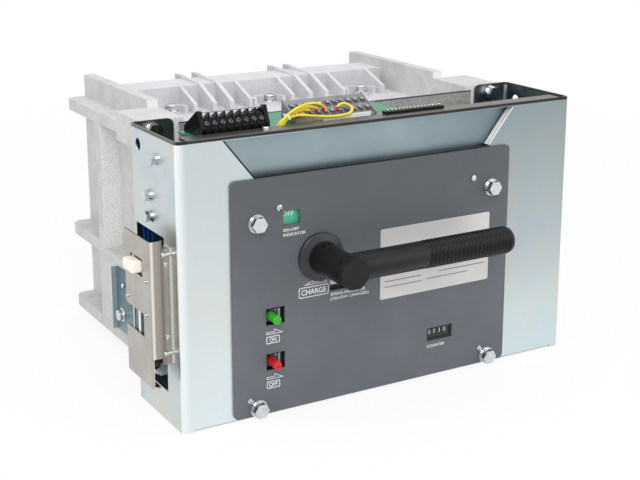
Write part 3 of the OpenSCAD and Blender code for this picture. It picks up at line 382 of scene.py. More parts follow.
nodeFinish = {
    "zincSheet": ["housing", "housing_wing_left", "housing_wing_right"],
    "zincShade": ["recess_panel", "mechanism_cheeks", "control_tray"],
    "fasciaEnamel": ["fascia"], "labelStock": ["nameplate"],
    "headPlate": ["fascia_bolts"], "boltPlate": ["flange_bolts", "side_bolts"],
    "bushPhenolic": ["shaft_bush"], "groundSteel": ["charging_shaft"],
    "handlePaint": ["handle_hub"], "gripRubber": ["handle_grip"],
    "greenPeg": ["on_lever"], "redPeg": ["off_lever"],
    "greenFlag": ["indicator_flag"], "whiteFlag": ["spring_flag"], "counterBlack": ["counter"],
    "galvanised": ["mechanism_back_plate"], "boardMask": ["control_board"], "brassPost": ["board_posts"],
    # the lever guide is black nylon, here also standing as painted shade inside the lever windows
    "terminalNylon": ["terminal_block", "edge_strip", "lever_guide"], "rackGrey": ["terminal_rack"],
    "stainless": ["interlock_plate"], "stainlessStrip": ["interlock_angle"], "knobCream": ["interlock_knob"],
    "bluedZinc": ["side_channel_left", "side_channel_right"], "slideSteel": ["interlock_slide"],
    "frameCompound": ["side_wall_left", "side_wall_right", "front_wall", "phase_barrier_left",
                      "phase_barrier_right"],
    "deckCompound": ["top_deck", "bottom_deck"], "postResin": ["post_insulators"],
    "ceramic": ["interrupter_bodies"], "endCapSteel": ["interrupter_ends"],
    "copperBar": ["upper_terminals", "lower_terminals"],
    "yellowPvc": ["control_leads"], "bluePvc": ["side_leads"],
}
for finish, names in nodeFinish.items():
    for name in names:
        nodes[name].data.materials.clear()
        nodes[name].data.materials.append(finishes[finish])
print("finishes on", sum(len(n) for n in nodeFinish.values()), "nodes")

# studio: pale floor, white surround and large soft lamps, each with its place, width in metres and power
studio = {"floor": 12.0, "drop": 0.0005, "surround": 0.5, "white": 0.88, "near": 0.5, "far": 1.8,
          "aim": (0, 150, 150),
          "lamps": {"keyLamp": ((-900, -1500, 1500), 1.4, 22.0), "fillLamp": ((1300, -1300, 900), 1.4, 8.0),
                    "topLamp": ((0, 300, 1900), 1.6, 12.0), "sideLamp": ((-1700, 100, 800), 1.2, 5.0)}}


def seenStraight(tree):                # 1 for what the camera, a gloss or a glass sees of the surround
    path = addNode(tree, "ShaderNodeLightPath")
    seen = addNode(tree, "ShaderNodeMath", {0: (path, "Is Camera Ray"), 1: (path, "Is Glossy Ray")},
                   operation="MAXIMUM")
    clear = addNode(tree, "ShaderNodeMath", {0: (seen, "Value"), 1: (path, "Is Transmission Ray")},
                    operation="MAXIMUM")
    return (clear, "Value")


bpy.ops.object.select_all(action="DESELECT")
bpy.ops.mesh.primitive_plane_add(size=studio["floor"], location=(0, 0, -studio["drop"]))
floor = bpy.context.object
floor.name = "studioFloor"
bpy.ops.object.transform_apply(location=True, rotation=True, scale=True)
# matt white paper: takes a faint shadow near the object and turns plain white away from it
made, tree, place = newMaterial("paleStudioFloor")
away = addNode(tree, "ShaderNodeVectorMath", {0: place}, operation="LENGTH")
fade = addNode(tree, "ShaderNodeMapRange", {"Value": (away, "Value"), "From Min": studio["near"],
                                            "From Max": studio["far"], "To Min": studio["white"],
                                            "To Max": 1.0})
share = addNode(tree, "ShaderNodeMath", {0: seenStraight(tree), 1: (fade, "Result")}, operation="MULTIPLY")
matt = addNode(tree, "ShaderNodeBsdfDiffuse", {"Color": colour("#f4f4f4")})
glow = addNode(tree, "ShaderNodeEmission", {"Color": colour("#ffffff"), "Strength": 1.0})
both = addNode(tree, "ShaderNodeMixShader", {0: (share, "Value"), 1: (matt, "BSDF"), 2: (glow, "Emission")})
addNode(tree, "ShaderNodeOutputMaterial", {"Surface": (both, "Shader")})
floor.data.materials.append(made)

world = bpy.data.worlds.new("studioSurround")
scene.world = world
world.use_nodes = True
tree = world.node_tree
tree.nodes.clear()
dim = addNode(tree, "ShaderNodeBackground", {"Color": colour("#ffffff"), "Strength": studio["surround"]})
white = addNode(tree, "ShaderNodeBackground", {"Color": colour("#ffffff"), "Strength": 1.0})
both = addNode(tree, "ShaderNodeMixShader", {0: seenStraight(tree), 1: (dim, "Background"),
                                             2: (white, "Background")})
addNode(tree, "ShaderNodeOutputWorld", {"Surface": (both, "Shader")})

for name, (place, size, power) in studio["lamps"].items():
    bpy.ops.object.light_add(type="AREA", location=at(*place))
    lamp = bpy.context.object
    lamp.name = name
    lamp.data.size = size
    lamp.data.energy = power
    lamp.rotation_euler = (at(*studio["aim"]) - lamp.location).to_track_quat("-Z", "Y").to_euler()
print("studio lit")


def deselect():
    bpy.ops.object.select_all(action="DESELECT")


def only(*objects):                    # just these selected, the first one active
    deselect()
    for o in objects:
        o.select_set(True)
    bpy.context.view_layer.objects.active = objects[0]


def pickFaces(piece, test):            # in edit mode: select the faces that pass
    work = bmesh.from_edit_mesh(piece.data)
    work.select_mode = {"FACE"}
    for face in work.faces:
        face.select_set(bool(test(face)))
    bmesh.update_edit_mesh(piece.data)


def modified(piece, kind, **settings):
    only(piece)
    added = piece.modifiers.new(kind.lower(), kind)
    for key, value in settings.items():
        setattr(added, key, value)
    bpy.ops.object.modifier_apply(modifier=added.name)
    return piece


def softened(piece, width, segments=2, angle=35):      # width in millimetres
    return modified(piece, "BEVEL", width=width * mm, segments=segments, limit_method="ANGLE",
                    angle_limit=math.radians(angle))


def cutAway(piece, cutter):
    modified(piece, "BOOLEAN", object=cutter, operation="DIFFERENCE", solver="EXACT")
    bpy.data.objects.remove(cutter)


def block(x, y, z, w, d, h):           # a box from its lowest corner, in millimetres from the front face
    deselect()
    bpy.ops.mesh.primitive_cube_add(size=1, location=at(x + w / 2, y + d / 2, z + h / 2))
    made = bpy.context.object
    made.scale = (w * mm, d * mm, h * mm)
    bpy.ops.object.transform_apply(location=True, rotation=True, scale=True)
    return made


def joined(parts, name):
    only(*parts)
    if len(parts) > 1:
        bpy.ops.object.join()
    made = bpy.context.view_layer.objects.active
    made.name = name
    made.data.name = name
    return made


def copiesAt(master, turns, name):     # one mesh for each place, joined; the master is removed
    parts = []
    for turn in turns:
        twin = master.copy()
        twin.data = master.data.copy()
        twin.data.transform(turn)
        scene.collection.objects.link(twin)
        parts.append(twin)
    bpy.data.objects.remove(master)
    return joined(parts, name)


def settle(piece, finish, body="root", angle=32):      # shading, finish and body of a piece
    only(piece)
    bpy.ops.object.transform_apply(location=True, rotation=True, scale=True)
    bpy.ops.object.shade_smooth_by_angle(angle=math.radians(angle))
    piece.data.materials.clear()
    piece.data.materials.append(finishes[finish])
    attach(piece, body)
    return piece


def closed(piece):                     # doubles merged, faces outwards
    only(piece)
    bpy.ops.object.mode_set(mode="EDIT")
    bpy.ops.mesh.select_all(action="SELECT")
    bpy.ops.mesh.remove_doubles(threshold=0.00001)
    bpy.ops.mesh.normals_make_consistent(inside=False)
    bpy.ops.object.mode_set(mode="OBJECT")
    return piece


def flatFigure(spots, fill):           # a ring of vertices at these spots, filled or open
    deselect()
    bpy.ops.mesh.primitive_circle_add(vertices=len(spots), radius=1, fill_type=fill)
    made = bpy.context.object
    for vertex, spot in zip(made.data.vertices, spots):
        vertex.co = spot
    return made


def drum(d, h, sides=32):              # a cylinder that stands on the origin along +Z, in millimetres
    deselect()
    bpy.ops.mesh.primitive_cylinder_add(vertices=sides, radius=d / 2 * mm, depth=h * mm,
                                        location=(0, 0, h / 2 * mm))
    bpy.ops.object.transform_apply(location=True, rotation=True, scale=True)
    return bpy.context.object


def crowned(piece, steps):             # the top face drawn in and raised, step by step, in millimetres
    bpy.ops.object.mode_set(mode="EDIT")
    pickFaces(piece, lambda f: f.normal.z > 0.9)
    for width, rise in steps:
        bpy.ops.mesh.inset(thickness=width * mm)
        bpy.ops.transform.translate(value=(0, 0, rise * mm))
    bpy.ops.object.mode_set(mode="OBJECT")


# heads as shares of their diameter and height: crown steps, and the slot's lengths, width, place and depth
panHead = {"crown": ((0.12, 0.18), (0.14, 0.10)), "cross": 0.62, "single": 1.2, "wide": 0.13, "up": 1.2,
           "deep": 0.9, "sides": 28}
hexHead = {"crown": (0.09, 0.10), "edge": 0.35, "washer": 1.4, "washerEdge": 0.3, "sides": 36}


def panScrew(d, h, slots):             # domed head with a cross or a single slot, seated on the origin
    head = drum(d, h, panHead["sides"])
    crowned(head, [(d * inward, h * rise) for inward, rise in panHead["crown"]])
    length = panHead["cross"] if slots == 2 else panHead["single"]
    for turn in range(slots):
        deselect()
        bpy.ops.mesh.primitive_cube_add(size=1, location=(0, 0, h * panHead["up"] * mm),
                                        rotation=(0, 0, math.pi / 2 * turn))
        cutter = bpy.context.object
        cutter.scale = (d * length * mm, d * panHead["wide"] * mm, h * panHead["deep"] * mm)
        cutAway(head, cutter)
    return head


def hexBolt(af, h, washer):            # bevelled hexagon head over a washer, seated on the origin
    head = drum(af / math.cos(math.pi / 6), h, 6)
    head.data.transform(Matrix.Translation((0, 0, hexHead["washer"] * mm)))
    crowned(head, [(af * hexHead["crown"][0], h * hexHead["crown"][1])])
    softened(head, hexHead["edge"])
    ring = softened(drum(washer, hexHead["washer"], hexHead["sides"]), hexHead["washerEdge"])
    return joined([head, ring], "hexBolt")


facing = {"front": Matrix.Rotation(math.pi / 2, 4, "X"), "left": Matrix.Rotation(-math.pi / 2, 4, "Y"),
          "right": Matrix.Rotation(math.pi / 2, 4, "Y"), "up": Matrix.Identity(4)}


def seat(x, y, z, way="front", spin=0.0):
    return Matrix.Translation(at(x, y, z)) @ facing[way] @ Matrix.Rotation(math.radians(spin), 4, "Z")


def leaned(x, y, z, degrees):          # a place, and a turn about the depth
    return Matrix.Translation(at(x, y, z)) @ Matrix.Rotation(math.radians(degrees), 4, "Y")


# small screws on the fascia, the lip, and the interlock's strip and plate: diameter, height, slots, places
screwSet = {"fascia": (7, 2.4, 2), "fasciaAt": [(-147, -3, 244.5), (118.5, -3, 244.5)],
            "lip": (8, 3.2, 2), "lipAt": [(-155, 10, 330), (10, 28, 325)],
            "interlock": (5, 1.8, 1), "stripAt": [(-273.5, 20, 193), (-273.5, 20, 110)],
            "plateAt": [(-294, 28, 174), (-294, 28, 136), (-294, 81, 143)]}
spots = [seat(*p, "front", 20 + 31 * i) for i, p in enumerate(screwSet["fasciaAt"])]
settle(copiesAt(panScrew(*screwSet["fascia"]), spots, "fasciaScrews"), "boltPlate")
spots = [seat(*p, "up", 15) for p in screwSet["lipAt"]]
settle(copiesAt(panScrew(*screwSet["lip"]), spots, "lipScrews"), "boltPlate")
spots = [seat(*p, "front", 40 * i) for i, p in enumerate(screwSet["stripAt"])]
spots += [seat(*p, "left", 25 * i) for i, p in enumerate(screwSet["plateAt"])]
settle(copiesAt(panScrew(*screwSet["interlock"]), spots, "interlockScrews"), "boltPlate")
print("small screws set")

# hexagon bolts and pins on the side channels, and bolts in the deck's bays
boltSet = {"web": 242.5, "channel": (13, 5.5, 18), "channelAt": (234, 62), "pin": (6, 5), "pinEdge": 1.2,
           "pinAt": (222, 104), "pole": (15, 7, 22), "poleAt": (292, 302), "poleX": (-144, 0, 144)}
spots = [seat(-boltSet["web"], *boltSet["channelAt"], "left", 12),
         seat(boltSet["web"], *boltSet["channelAt"], "right", 40)]
settle(copiesAt(hexBolt(*boltSet["channel"]), spots, "channelBolts"), "boltPlate")
spots = [seat(-boltSet["web"], *boltSet["pinAt"], "left"), seat(boltSet["web"], *boltSet["pinAt"], "right")]
settle(copiesAt(softened(drum(*boltSet["pin"]), boltSet["pinEdge"], 3), spots, "channelPins"),
       "boltPlate")
spots = [seat(x, *boltSet["poleAt"], "up", 9 + x / 6) for x in boltSet["poleX"]]
settle(copiesAt(hexBolt(*boltSet["pole"]), spots, "poleBolts"), "boltPlate")
print("hexagon bolts set")

# barrier terminal block: steep front and long back, a fin between the ways, thicker barriers at both ends
ways = {"count": 8, "x0": -225, "x1": -141, "y": 26, "base": 325, "fin": 2.2, "finEdge": 0.4, "end": 5.2,
        "endEdge": 0.35, "sunk": 2.4, "sunkTo": 0.55,
        "body": [(0, 0), (45, 0), (45, 5), (12, 20.5), (7.8, 20.5), (1.6, 9), (0, 9)],
        "finSide": [(0, 0), (45, 0), (45, 6), (11, 25.6), (9, 25.6), (0, 9.5)],
        "endSide": [(0, 0), (45, 0), (45, 6.5), (12, 28), (8.4, 28), (0, 9.5)],
        "screw": (5.6, 2.2, 1), "front": (4.5, 14.2, 61.5), "rear": (29, 12.8, -25.2),
        "railAt": (9.2, 25.4), "rail": (1.6, 1.0), "railIn": 0.4, "railEdge": 0.3}


def extruded(points, x, w):            # a side outline in depth and height, pulled out to a width along X
    made = flatFigure([at(x, ways["y"] + y, ways["base"] + z) for y, z in points], "NGON")
    bpy.ops.object.mode_set(mode="EDIT")
    pickFaces(made, lambda f: True)
    bpy.ops.mesh.extrude_region_move(TRANSFORM_OT_translate={"value": (w * mm, 0, 0)})
    bpy.ops.object.mode_set(mode="OBJECT")
    return closed(made)


inside = ways["x1"] - ways["x0"] - 2 * ways["end"]
pitch = (inside - (ways["count"] - 1) * ways["fin"]) / ways["count"]
walls = [extruded(ways["body"], ways["x0"] + ways["end"] / 2, ways["x1"] - ways["x0"] - ways["end"])]
for i in range(1, ways["count"]):
    x = ways["x0"] + ways["end"] + i * pitch + (i - 1) * ways["fin"]
    walls.append(softened(extruded(ways["finSide"], x, ways["fin"]), ways["finEdge"]))
for x in (ways["x0"], ways["x1"] - ways["end"]):
    barrier = extruded(ways["endSide"], x, ways["end"])
    bpy.ops.object.mode_set(mode="EDIT")     # sunk triangle in each outer face
    pickFaces(barrier, lambda f: abs(f.normal.x) > 0.9)
    bpy.ops.mesh.inset(thickness=ways["sunk"] * mm)
    bpy.ops.transform.resize(value=(ways["sunkTo"], 1, 1), center_override=((x + ways["end"] / 2) * mm, 0, 0))
    bpy.ops.object.mode_set(mode="OBJECT")
    walls.append(softened(barrier, ways["endEdge"]))
made = settle(joined(walls, "terminalBlock"), "terminalNylon")
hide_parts("terminal_block")
spots = []
for i in range(ways["count"]):
    x = ways["x0"] + ways["end"] + pitch / 2 + i * (pitch + ways["fin"])
    for y, z, lean in (ways["front"], ways["rear"]):
        spots.append(Matrix.Translation(at(x, ways["y"] + y, ways["base"] + z))
                     @ Matrix.Rotation(math.radians(lean), 4, "X") @ Matrix.Rotation(0.6 * i, 4, "Z"))
settle(copiesAt(panScrew(*ways["screw"]), spots, "blockScrews"), "clampNickel")
rail = block(ways["x0"] + ways["end"] - ways["railIn"], ways["y"] + ways["railAt"][0],
             ways["base"] + ways["railAt"][1], inside + 2 * ways["railIn"], *ways["rail"])
settle(joined([softened(rail, ways["railEdge"])], "blockMarkerRail"), "rackGrey")
print("terminal block built")

# sloped terminal carrier: cheeks at both ends, two rows of screws in wells of painted shade, a marker card in
# front
rack = {"x": -100, "l": 104, "y": 38, "d": 34, "h": 22, "base": 325, "plate": 3, "ways": 11,
        "rows": (11.5, 25.5), "well": (6.8, 8.5, 1.2), "wellUp": 0.3, "wellEdge": 0.3,
        "screw": (5.4, 2.2, 1), "screwUp": 0.9,
        "cardIn": 34, "cardShort": 40, "cardUp": 0.2, "card": (1.2, 6), "cardEdge": 0.3,
        "cheek": 2, "cheekOut": 1, "cheekLong": 1.5, "cheekDrop": 3.5, "cheekEdge": 0.4,
        "near": 5}
slope = math.atan2(rack["h"] - rack["plate"], rack["d"] - rack["plate"])
lay = Matrix.Translation(at(0, rack["y"], rack["base"] + rack["plate"])) @ Matrix.Rotation(slope, 4, "X")
wells = []
spots = []
for i in range(rack["ways"]):
    x = rack["x"] + (i + 0.5) * rack["l"] / rack["ways"]
    for along in rack["rows"]:
        deselect()
        bpy.ops.mesh.primitive_cube_add(size=1)
        well = bpy.context.object
        well.scale = [side * mm for side in rack["well"]]
        bpy.ops.object.transform_apply(scale=True)
        well.data.transform(lay @ Matrix.Translation((x * mm, along * mm, rack["wellUp"] * mm)))
        wells.append(softened(well, rack["wellEdge"]))
        spots.append(lay @ Matrix.Translation((x * mm, along * mm, rack["screwUp"] * mm))
                     @ Matrix.Rotation(0.5 * i + along, 4, "Z"))
settle(joined(wells, "rackWellShade"), "rackWell")
settle(copiesAt(panScrew(*rack["screw"]), spots, "rackScrews"), "rackScrew")
thick, tall = rack["card"]
card = block(rack["x"] + rack["cardIn"], rack["y"] - thick, rack["base"] + rack["cardUp"],
             rack["l"] - rack["cardShort"], thick, tall)
bpy.ops.object.mode_set(mode="EDIT")
bpy.ops.mesh.bevel(offset=rack["cardEdge"] * mm, segments=1)
bpy.ops.object.mode_set(mode="OBJECT")
settle(joined([card], "rackMarkerCard"), "markerWhite")
cheeks = []
for x in (rack["x"] - rack["cheek"], rack["x"] + rack["l"]):
    cheek = block(x, rack["y"] - rack["cheekOut"], rack["base"], rack["cheek"], rack["d"] + rack["cheekLong"],
                  rack["h"] + rack["cheek"])
    bpy.ops.object.mode_set(mode="EDIT")     # pull the front top edge down into a slope
    work = bmesh.from_edit_mesh(cheek.data)
    for v in work.verts:
        v.select_set(v.co.z > at(0, 0, rack["base"] + rack["near"]).z
                     and v.co.y < at(0, rack["y"] + rack["near"], 0).y)
    work.select_flush(True)
    bmesh.update_edit_mesh(cheek.data)
    bpy.ops.transform.translate(value=(0, 0, -(rack["h"] - rack["cheekDrop"]) * mm))
    bpy.ops.object.mode_set(mode="OBJECT")
    cheeks.append(softened(cheek, rack["cheekEdge"]))
settle(joined(cheeks, "rackCheeks"), "rackGrey")
print("terminal carrier dressed")

# legends in raised ink: a word is its place from the left and the base, its width and its cap height
legend = {"face": -3.0, "ink": 0.2, "stroke": 0.9, "thin": 0.7, "thinner": 0.6, "depth": 0.05, "bold": 0.012,
          "levers": {"ON": (109, 8.6), "OFF": (55, 11.4)}, "leverWord": (-155.5, -20.1, 5),
          "leverArrow": [(-164, -10.8), (-142, -10.8), (-154, -4.6), (-154, -7.8), (-164, -7.8)],
          "leverBox": (-164, -22, -147, -13.2), "leverRound": 1.6,
          "chargeArrow": [(-115.5, 148.2), (-85.5, 148.2), (-85.5, 150.8), (-103.4, 150.8), (-103.4, 152.8)],
          "chargeBox": (-122, 133.5, -83, 146), "chargeRound": 2.0,
          "words": [("CHARGE", -118.6, 136.6, 32.2, 6.4), ("SPRING INDICATOR", -80.5, 129.6, 47, 3.8),
                    ("(YELLOW: CHARGED)", -80.5, 123.4, 52, 4.4), ("ON-OFF", -141.4, 215.4, 19.6, 3.4),
                    ("INDICATOR", -141.4, 209.8, 28.6, 3.4), ("COUNTER", 56, 38.6, 26, 3.6)],
          "flag": ("OFF", -140.6, 232.0, 15.6, 5.4, 2.0)}


def lettering(words, x, z, width, cap, face=legend["face"]):
    # font made a mesh at the origin, then fitted to its width and cap height
    deselect()
    bpy.ops.object.text_add()
    bpy.context.object.data.body = words
    bpy.context.object.data.extrude = legend["depth"]
    bpy.context.object.data.offset = legend["bold"]
    bpy.ops.object.convert(target="MESH")
    made = closed(bpy.context.object)
    low = [min(v.co[i] for v in made.data.vertices) for i in range(3)]
    high = [max(v.co[i] for v in made.data.vertices) for i in range(3)]
    size = [(want * mm) / (b - a) for want, a, b in zip((width, cap, legend["ink"]), low, high)]
    fit = Matrix.Diagonal((*size, 1)) @ Matrix.Translation([-v for v in low])
    made.data.transform(seat(x, face, z) @ fit)
    return made


def outline(points, rounding=0.0, stroke=legend["stroke"], face=legend["face"]):
    # a filled figure, rounded at its corners, opened to a stroke and thickened
    made = flatFigure([at(x, face, z) for x, z in points], "NGON")
    bpy.ops.object.mode_set(mode="EDIT")
    bpy.ops.mesh.select_all(action="SELECT")
    if rounding:
        bpy.ops.mesh.bevel(offset=rounding * mm, segments=4, affect="VERTICES")
        bpy.ops.mesh.select_all(action="SELECT")
    bpy.ops.mesh.normals_make_consistent(inside=False)
    pickFaces(made, lambda f: True)
    bpy.ops.mesh.inset(thickness=stroke * mm)
    bpy.ops.mesh.delete(type="FACE")
    pickFaces(made, lambda f: True)
    bpy.ops.mesh.extrude_region_move(TRANSFORM_OT_translate={"value": (0, -legend["ink"] * mm, 0)})
    bpy.ops.object.mode_set(mode="OBJECT")
    return closed(made)


def oblong(x0, z0, x1, z1):
    return [(x0, z0), (x1, z0), (x1, z1), (x0, z1)]


inked = []
for word, (base, width) in legend["levers"].items():
    inked.append(outline([(x, base + z) for x, z in legend["leverArrow"]], stroke=legend["thin"]))
    x0, z0, x1, z1 = legend["leverBox"]
    inked.append(outline(oblong(x0, base + z0, x1, base + z1), legend["leverRound"]))
    x, z, cap = legend["leverWord"]
    inked.append(lettering(word, x - width / 2, base + z, width, cap))
inked.append(outline(oblong(*legend["chargeBox"]), legend["chargeRound"]))
inked.append(outline(legend["chargeArrow"], stroke=legend["thinner"]))
for word in legend["words"]:
    inked.append(lettering(*word))
settle(joined(inked, "fasciaLegends"), "whiteInk")
settle(joined([lettering(*legend["flag"])], "flagWord"), "paleFlagInk")
print("legends printed")

# counter: four wheel windows with a digit each, behind a bezel
wheel = {"x": 57, "pitch": 7.4, "w": 6.6, "z": 53.2, "h": 10.2, "digits": "0010", "face": -1.5, "round": 0.6,
         "stroke": 0.5, "figure": 3.2, "one": 1.5, "up": 2.2, "cap": 5.8}
wheels = []
figures = []
for i, digit in enumerate(wheel["digits"]):
    x = wheel["x"] + i * wheel["pitch"]
    wheels.append(outline(oblong(x, wheel["z"], x + wheel["w"], wheel["z"] + wheel["h"]), wheel["round"],
                          wheel["stroke"], wheel["face"]))
    w = wheel["one"] if digit == "1" else wheel["figure"]
    figures.append(lettering(digit, x + (wheel["w"] - w) / 2, wheel["z"] + wheel["up"], w, wheel["cap"],
                             wheel["face"]))
settle(joined(wheels, "counterFrames"), "counterEdge")
settle(joined(figures, "counterDigits"), "counterInk")
print("counter dressed")

# nameplate: left bare but for blank field lines, each from the plate's corner: start, height and end
plate = {"x0": -13, "z0": 113, "face": -3.8, "line": 0.8, "stroke": 0.3,
         "fields": [(100, 36, 152), (100, 29, 152), (84, 22, 152), (66, 15, 126), (6, 21, 58), (6, 14, 58)]}
lines = []
for start, up, end in plate["fields"]:
    z = plate["z0"] + up
    lines.append(outline(oblong(plate["x0"] + start, z, plate["x0"] + end, z + plate["line"]), 0.0,
                         plate["stroke"], plate["face"]))
settle(joined(lines, "nameplateFields"), "darkInk")
print("nameplate ruled")

# handle: black socket set screw in the recess on the hub
setScrew = {"d": 10.5, "h": 4.2, "edge": 0.8, "socket": 5.5, "socketUp": 0.45, "place": (-94, -21, 194.5),
            "spin": 8}
screw = softened(drum(setScrew["d"], setScrew["h"], 40), setScrew["edge"], 3)
socket = drum(setScrew["socket"], setScrew["h"], 6)
socket.location.z = setScrew["h"] * setScrew["socketUp"] * mm
cutAway(screw, socket)
settle(copiesAt(screw, [seat(*setScrew["place"], "up", setScrew["spin"])], "hubSetScrew"),
       "blackOxide", "handle")
print("set screw in the hub")

# handle: one smooth sleeve from hub to grip, and a grip with fine rings of the same width
# ring points: share of a ring's length, and drop below the crest; tip points: drop, and distance from the end
grip = {"x0": 10, "l": 122, "d": 33, "y": -57, "z": 180, "rings": 21, "groove": 1.2, "end": 4, "steps": 72,
        "ring": ((0.28, 0.2), (0.5, 0.0), (0.72, 0.2)), "tip": ((0.0, 4), (0.4, 1.6), (1.5, 0.4), (3.5, 0)),
        "sleeve": 32.2, "from": -90, "sleeveEdge": 0.6, "sleeveGap": 0.1, "sleeveTaper": 1.2}


def turned(section):                   # an outline of (radius, place along X) spun round the handle's axis
    made = flatFigure([(x * mm, 0, r * mm) for r, x in section], "NOTHING")
    bpy.ops.object.mode_set(mode="EDIT")
    bpy.ops.mesh.select_all(action="SELECT")
    bpy.ops.mesh.spin(steps=grip["steps"], angle=math.tau, center=(0, 0, 0), axis=(1, 0, 0))
    bpy.ops.object.mode_set(mode="OBJECT")
    made.data.transform(Matrix.Translation(at(0, grip["y"], grip["z"])))
    return closed(made)


step = (grip["l"] - grip["end"]) / grip["rings"]
crest = grip["d"] / 2
valley = crest - grip["groove"]
section = [(0, grip["x0"])]
for i in range(grip["rings"]):
    x = grip["x0"] + i * step
    section.append((valley, x))
    section += [(crest - drop, x + share * step) for share, drop in grip["ring"]]
tip = grip["x0"] + grip["l"]
section += [(valley - drop, tip - back) for drop, back in grip["tip"]]
section.append((0, tip))
made = settle(joined([turned(section)], "ringedGrip"), "gripRubber", "handle", 50)
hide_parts("handle_grip")
half = grip["sleeve"] / 2
end = grip["x0"] - grip["sleeveGap"]
section = [(0, grip["from"]), (half, grip["from"]), (half, grip["x0"] - grip["sleeveTaper"]),
           (half - grip["sleeveEdge"], end), (0, end)]
settle(joined([turned(section)], "armSleeve"), "handlePaint", "handle")
print("handle dressed")

# press levers: a thin bright shim and two rivets flush on each slide, seen in its window
shim = {"face": 2.3, "thick": 0.2, "x": -146.2, "w": 2.6, "h": 13.4, "edge": 0.06, "rivet": (2.4, 0.24, 20),
        "rivetEdge": 0.08, "rivets": ((-149.4, 5.4), (-149.0, -5.0)), "rows": {"on": 119, "off": 65}}
for name, z in shim["rows"].items():
    bar = block(shim["x"], shim["face"] - shim["thick"], z - shim["h"] / 2,
                shim["w"], shim["thick"], shim["h"])
    bar = softened(bar, shim["edge"])
    head = softened(drum(*shim["rivet"]), shim["rivetEdge"])
    heads = copiesAt(head, [seat(x, shim["face"], z + up) for x, up in shim["rivets"]], "rivets")
    settle(joined([bar, heads], name + "LeverShim"), "rackScrew", name + "_lever")
print("lever shims set")

# tab washers under the two lower bolts
tabs = {"bolts": [(-175, 12), (146, 12)], "face": -3, "out": (-10.2, 10.8), "size": (5.4, 1.4, 7.0),
        "turn": 43, "edge": 0.4}
centred = Matrix.Translation(-at(0, 0, 0))
ears = []
for x, z in tabs["bolts"]:
    w, d, h = tabs["size"]
    ear = block(-w / 2, 0, -h / 2, w, d, h)
    turn = leaned(x + tabs["out"][0], tabs["face"] - d, z + tabs["out"][1], -tabs["turn"])
    ear.data.transform(turn @ centred)
    ears.append(softened(ear, tabs["edge"]))
settle(joined(ears, "washerTabs"), "boltPlate")
print("tab washers set")

# recess: the cut edge and the fold beside it on the right-hand return, as white strips of painted highlight
fold = {"foot": (144.6, 281.4), "top": (180.2, 325.8), "depths": ((0.2, 4.0), (5.0, 10.5)), "lift": 0.6,
        "edge": 0.15}
# and a painted shadow along the left-hand return and over the fascia's top edge: thin dark strips where shade
# falls
shadowLine = {"foot": (-175.8, 281.2), "top": (-211.6, 325.6), "depth": (0.2, 3.0), "wide": 1.3,
        "level": (-175.8, -0.4, 280.1, 320.6, 1.8, 1.5), "edge": 0.2}


def slanted(x, w, depth, foot, top):   # a strip along a slanted line of the front, over a range of depth
    strip = block(x, depth[0], 0, w, depth[1] - depth[0], math.dist(foot, top))
    lean = math.atan2(top[0] - foot[0], top[1] - foot[1])
    strip.data.transform(Matrix.Translation((foot[0] * mm, 0, foot[1] * mm)) @ Matrix.Rotation(lean, 4, "Y"))
    return strip


strips = [softened(slanted(-fold["lift"], fold["lift"], depth, fold["foot"], fold["top"]), fold["edge"])
          for depth in fold["depths"]]
settle(joined(strips, "recessEdgeHighlights"), "paintedEdgeHighlight")
# dark strips of painted shadow
strips = [slanted(0, shadowLine["wide"], shadowLine["depth"], shadowLine["foot"], shadowLine["top"]), block(*shadowLine["level"])]
strips = [softened(strip, shadowLine["edge"]) for strip in strips]
settle(joined(strips, "recessShadowLine"), "blackOxide")
print("recess edges set")

# interlock: cross pins on the front strip, return spring under it, marker strips, and the moulded knob
pins = {"pin": (4, 13, 24), "pinEdge": 0.6, "collar": (7, 2.6, 28), "collarEdge": 0.7, "x": -279.5, "y": 18,
        "zs": (204.5, 91.5)}
pin = softened(drum(*pins["pin"]), pins["pinEdge"])
collar = softened(drum(*pins["collar"]), pins["collarEdge"])
spots = [seat(pins["x"], pins["y"], z, "right") for z in pins["zs"]]
settle(copiesAt(joined([pin, collar], "pin"), spots, "interlockPins"), "boltPlate")
coil = {"d": 9, "wire": 1.2, "turns": 5, "l": 16, "place": (-284.5, 27, 72), "steps": 24, "sides": 10}
deselect()
bpy.ops.mesh.primitive_circle_add(vertices=coil["sides"], radius=coil["wire"] / 2 * mm,
                                  location=((coil["d"] - coil["wire"]) / 2 * mm, 0, coil["wire"] / 2 * mm),
                                  rotation=(math.pi / 2, 0, 0))
spring = bpy.context.object
bpy.ops.object.transform_apply(location=True, rotation=True, scale=True)
modified(spring, "SCREW", angle=math.tau, iterations=coil["turns"], steps=coil["steps"],
         render_steps=coil["steps"], screw_offset=(coil["l"] - coil["wire"]) / coil["turns"] * mm,
         use_merge_vertices=False)
only(spring)
bpy.ops.object.mode_set(mode="EDIT")         # cap both ends of the wire
bpy.ops.mesh.select_all(action="SELECT")
bpy.ops.mesh.select_non_manifold()
bpy.ops.mesh.edge_face_add()
bpy.ops.object.mode_set(mode="OBJECT")
spring = closed(copiesAt(spring, [seat(*coil["place"], "up")], "interlockSpring"))
settle(spring, "blackOxide")
marks = {"x": -291.95, "thick": 0.25, "z": 96, "h": 50, "edge": 0.08,
         "strips": {"white": ("markerWhite", 50.8, 5.8), "black": ("counterBlack", 43, 7.8)}}
for name, (finish, y, d) in marks["strips"].items():
    strip = softened(block(marks["x"], y, marks["z"], marks["thick"], d, marks["h"]), marks["edge"])
    settle(joined([strip], "slideStrip." + name), finish)
knob = {"place": (-306, 37, 182), "size": (14.3, 28, 13), "round": 3.2}
shape = softened(block(*knob["place"], *knob["size"]), knob["round"], 5)
settle(joined([shape], "interlockKnob"), "knobCream")
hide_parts("interlock_knob")
print("interlock dressed")

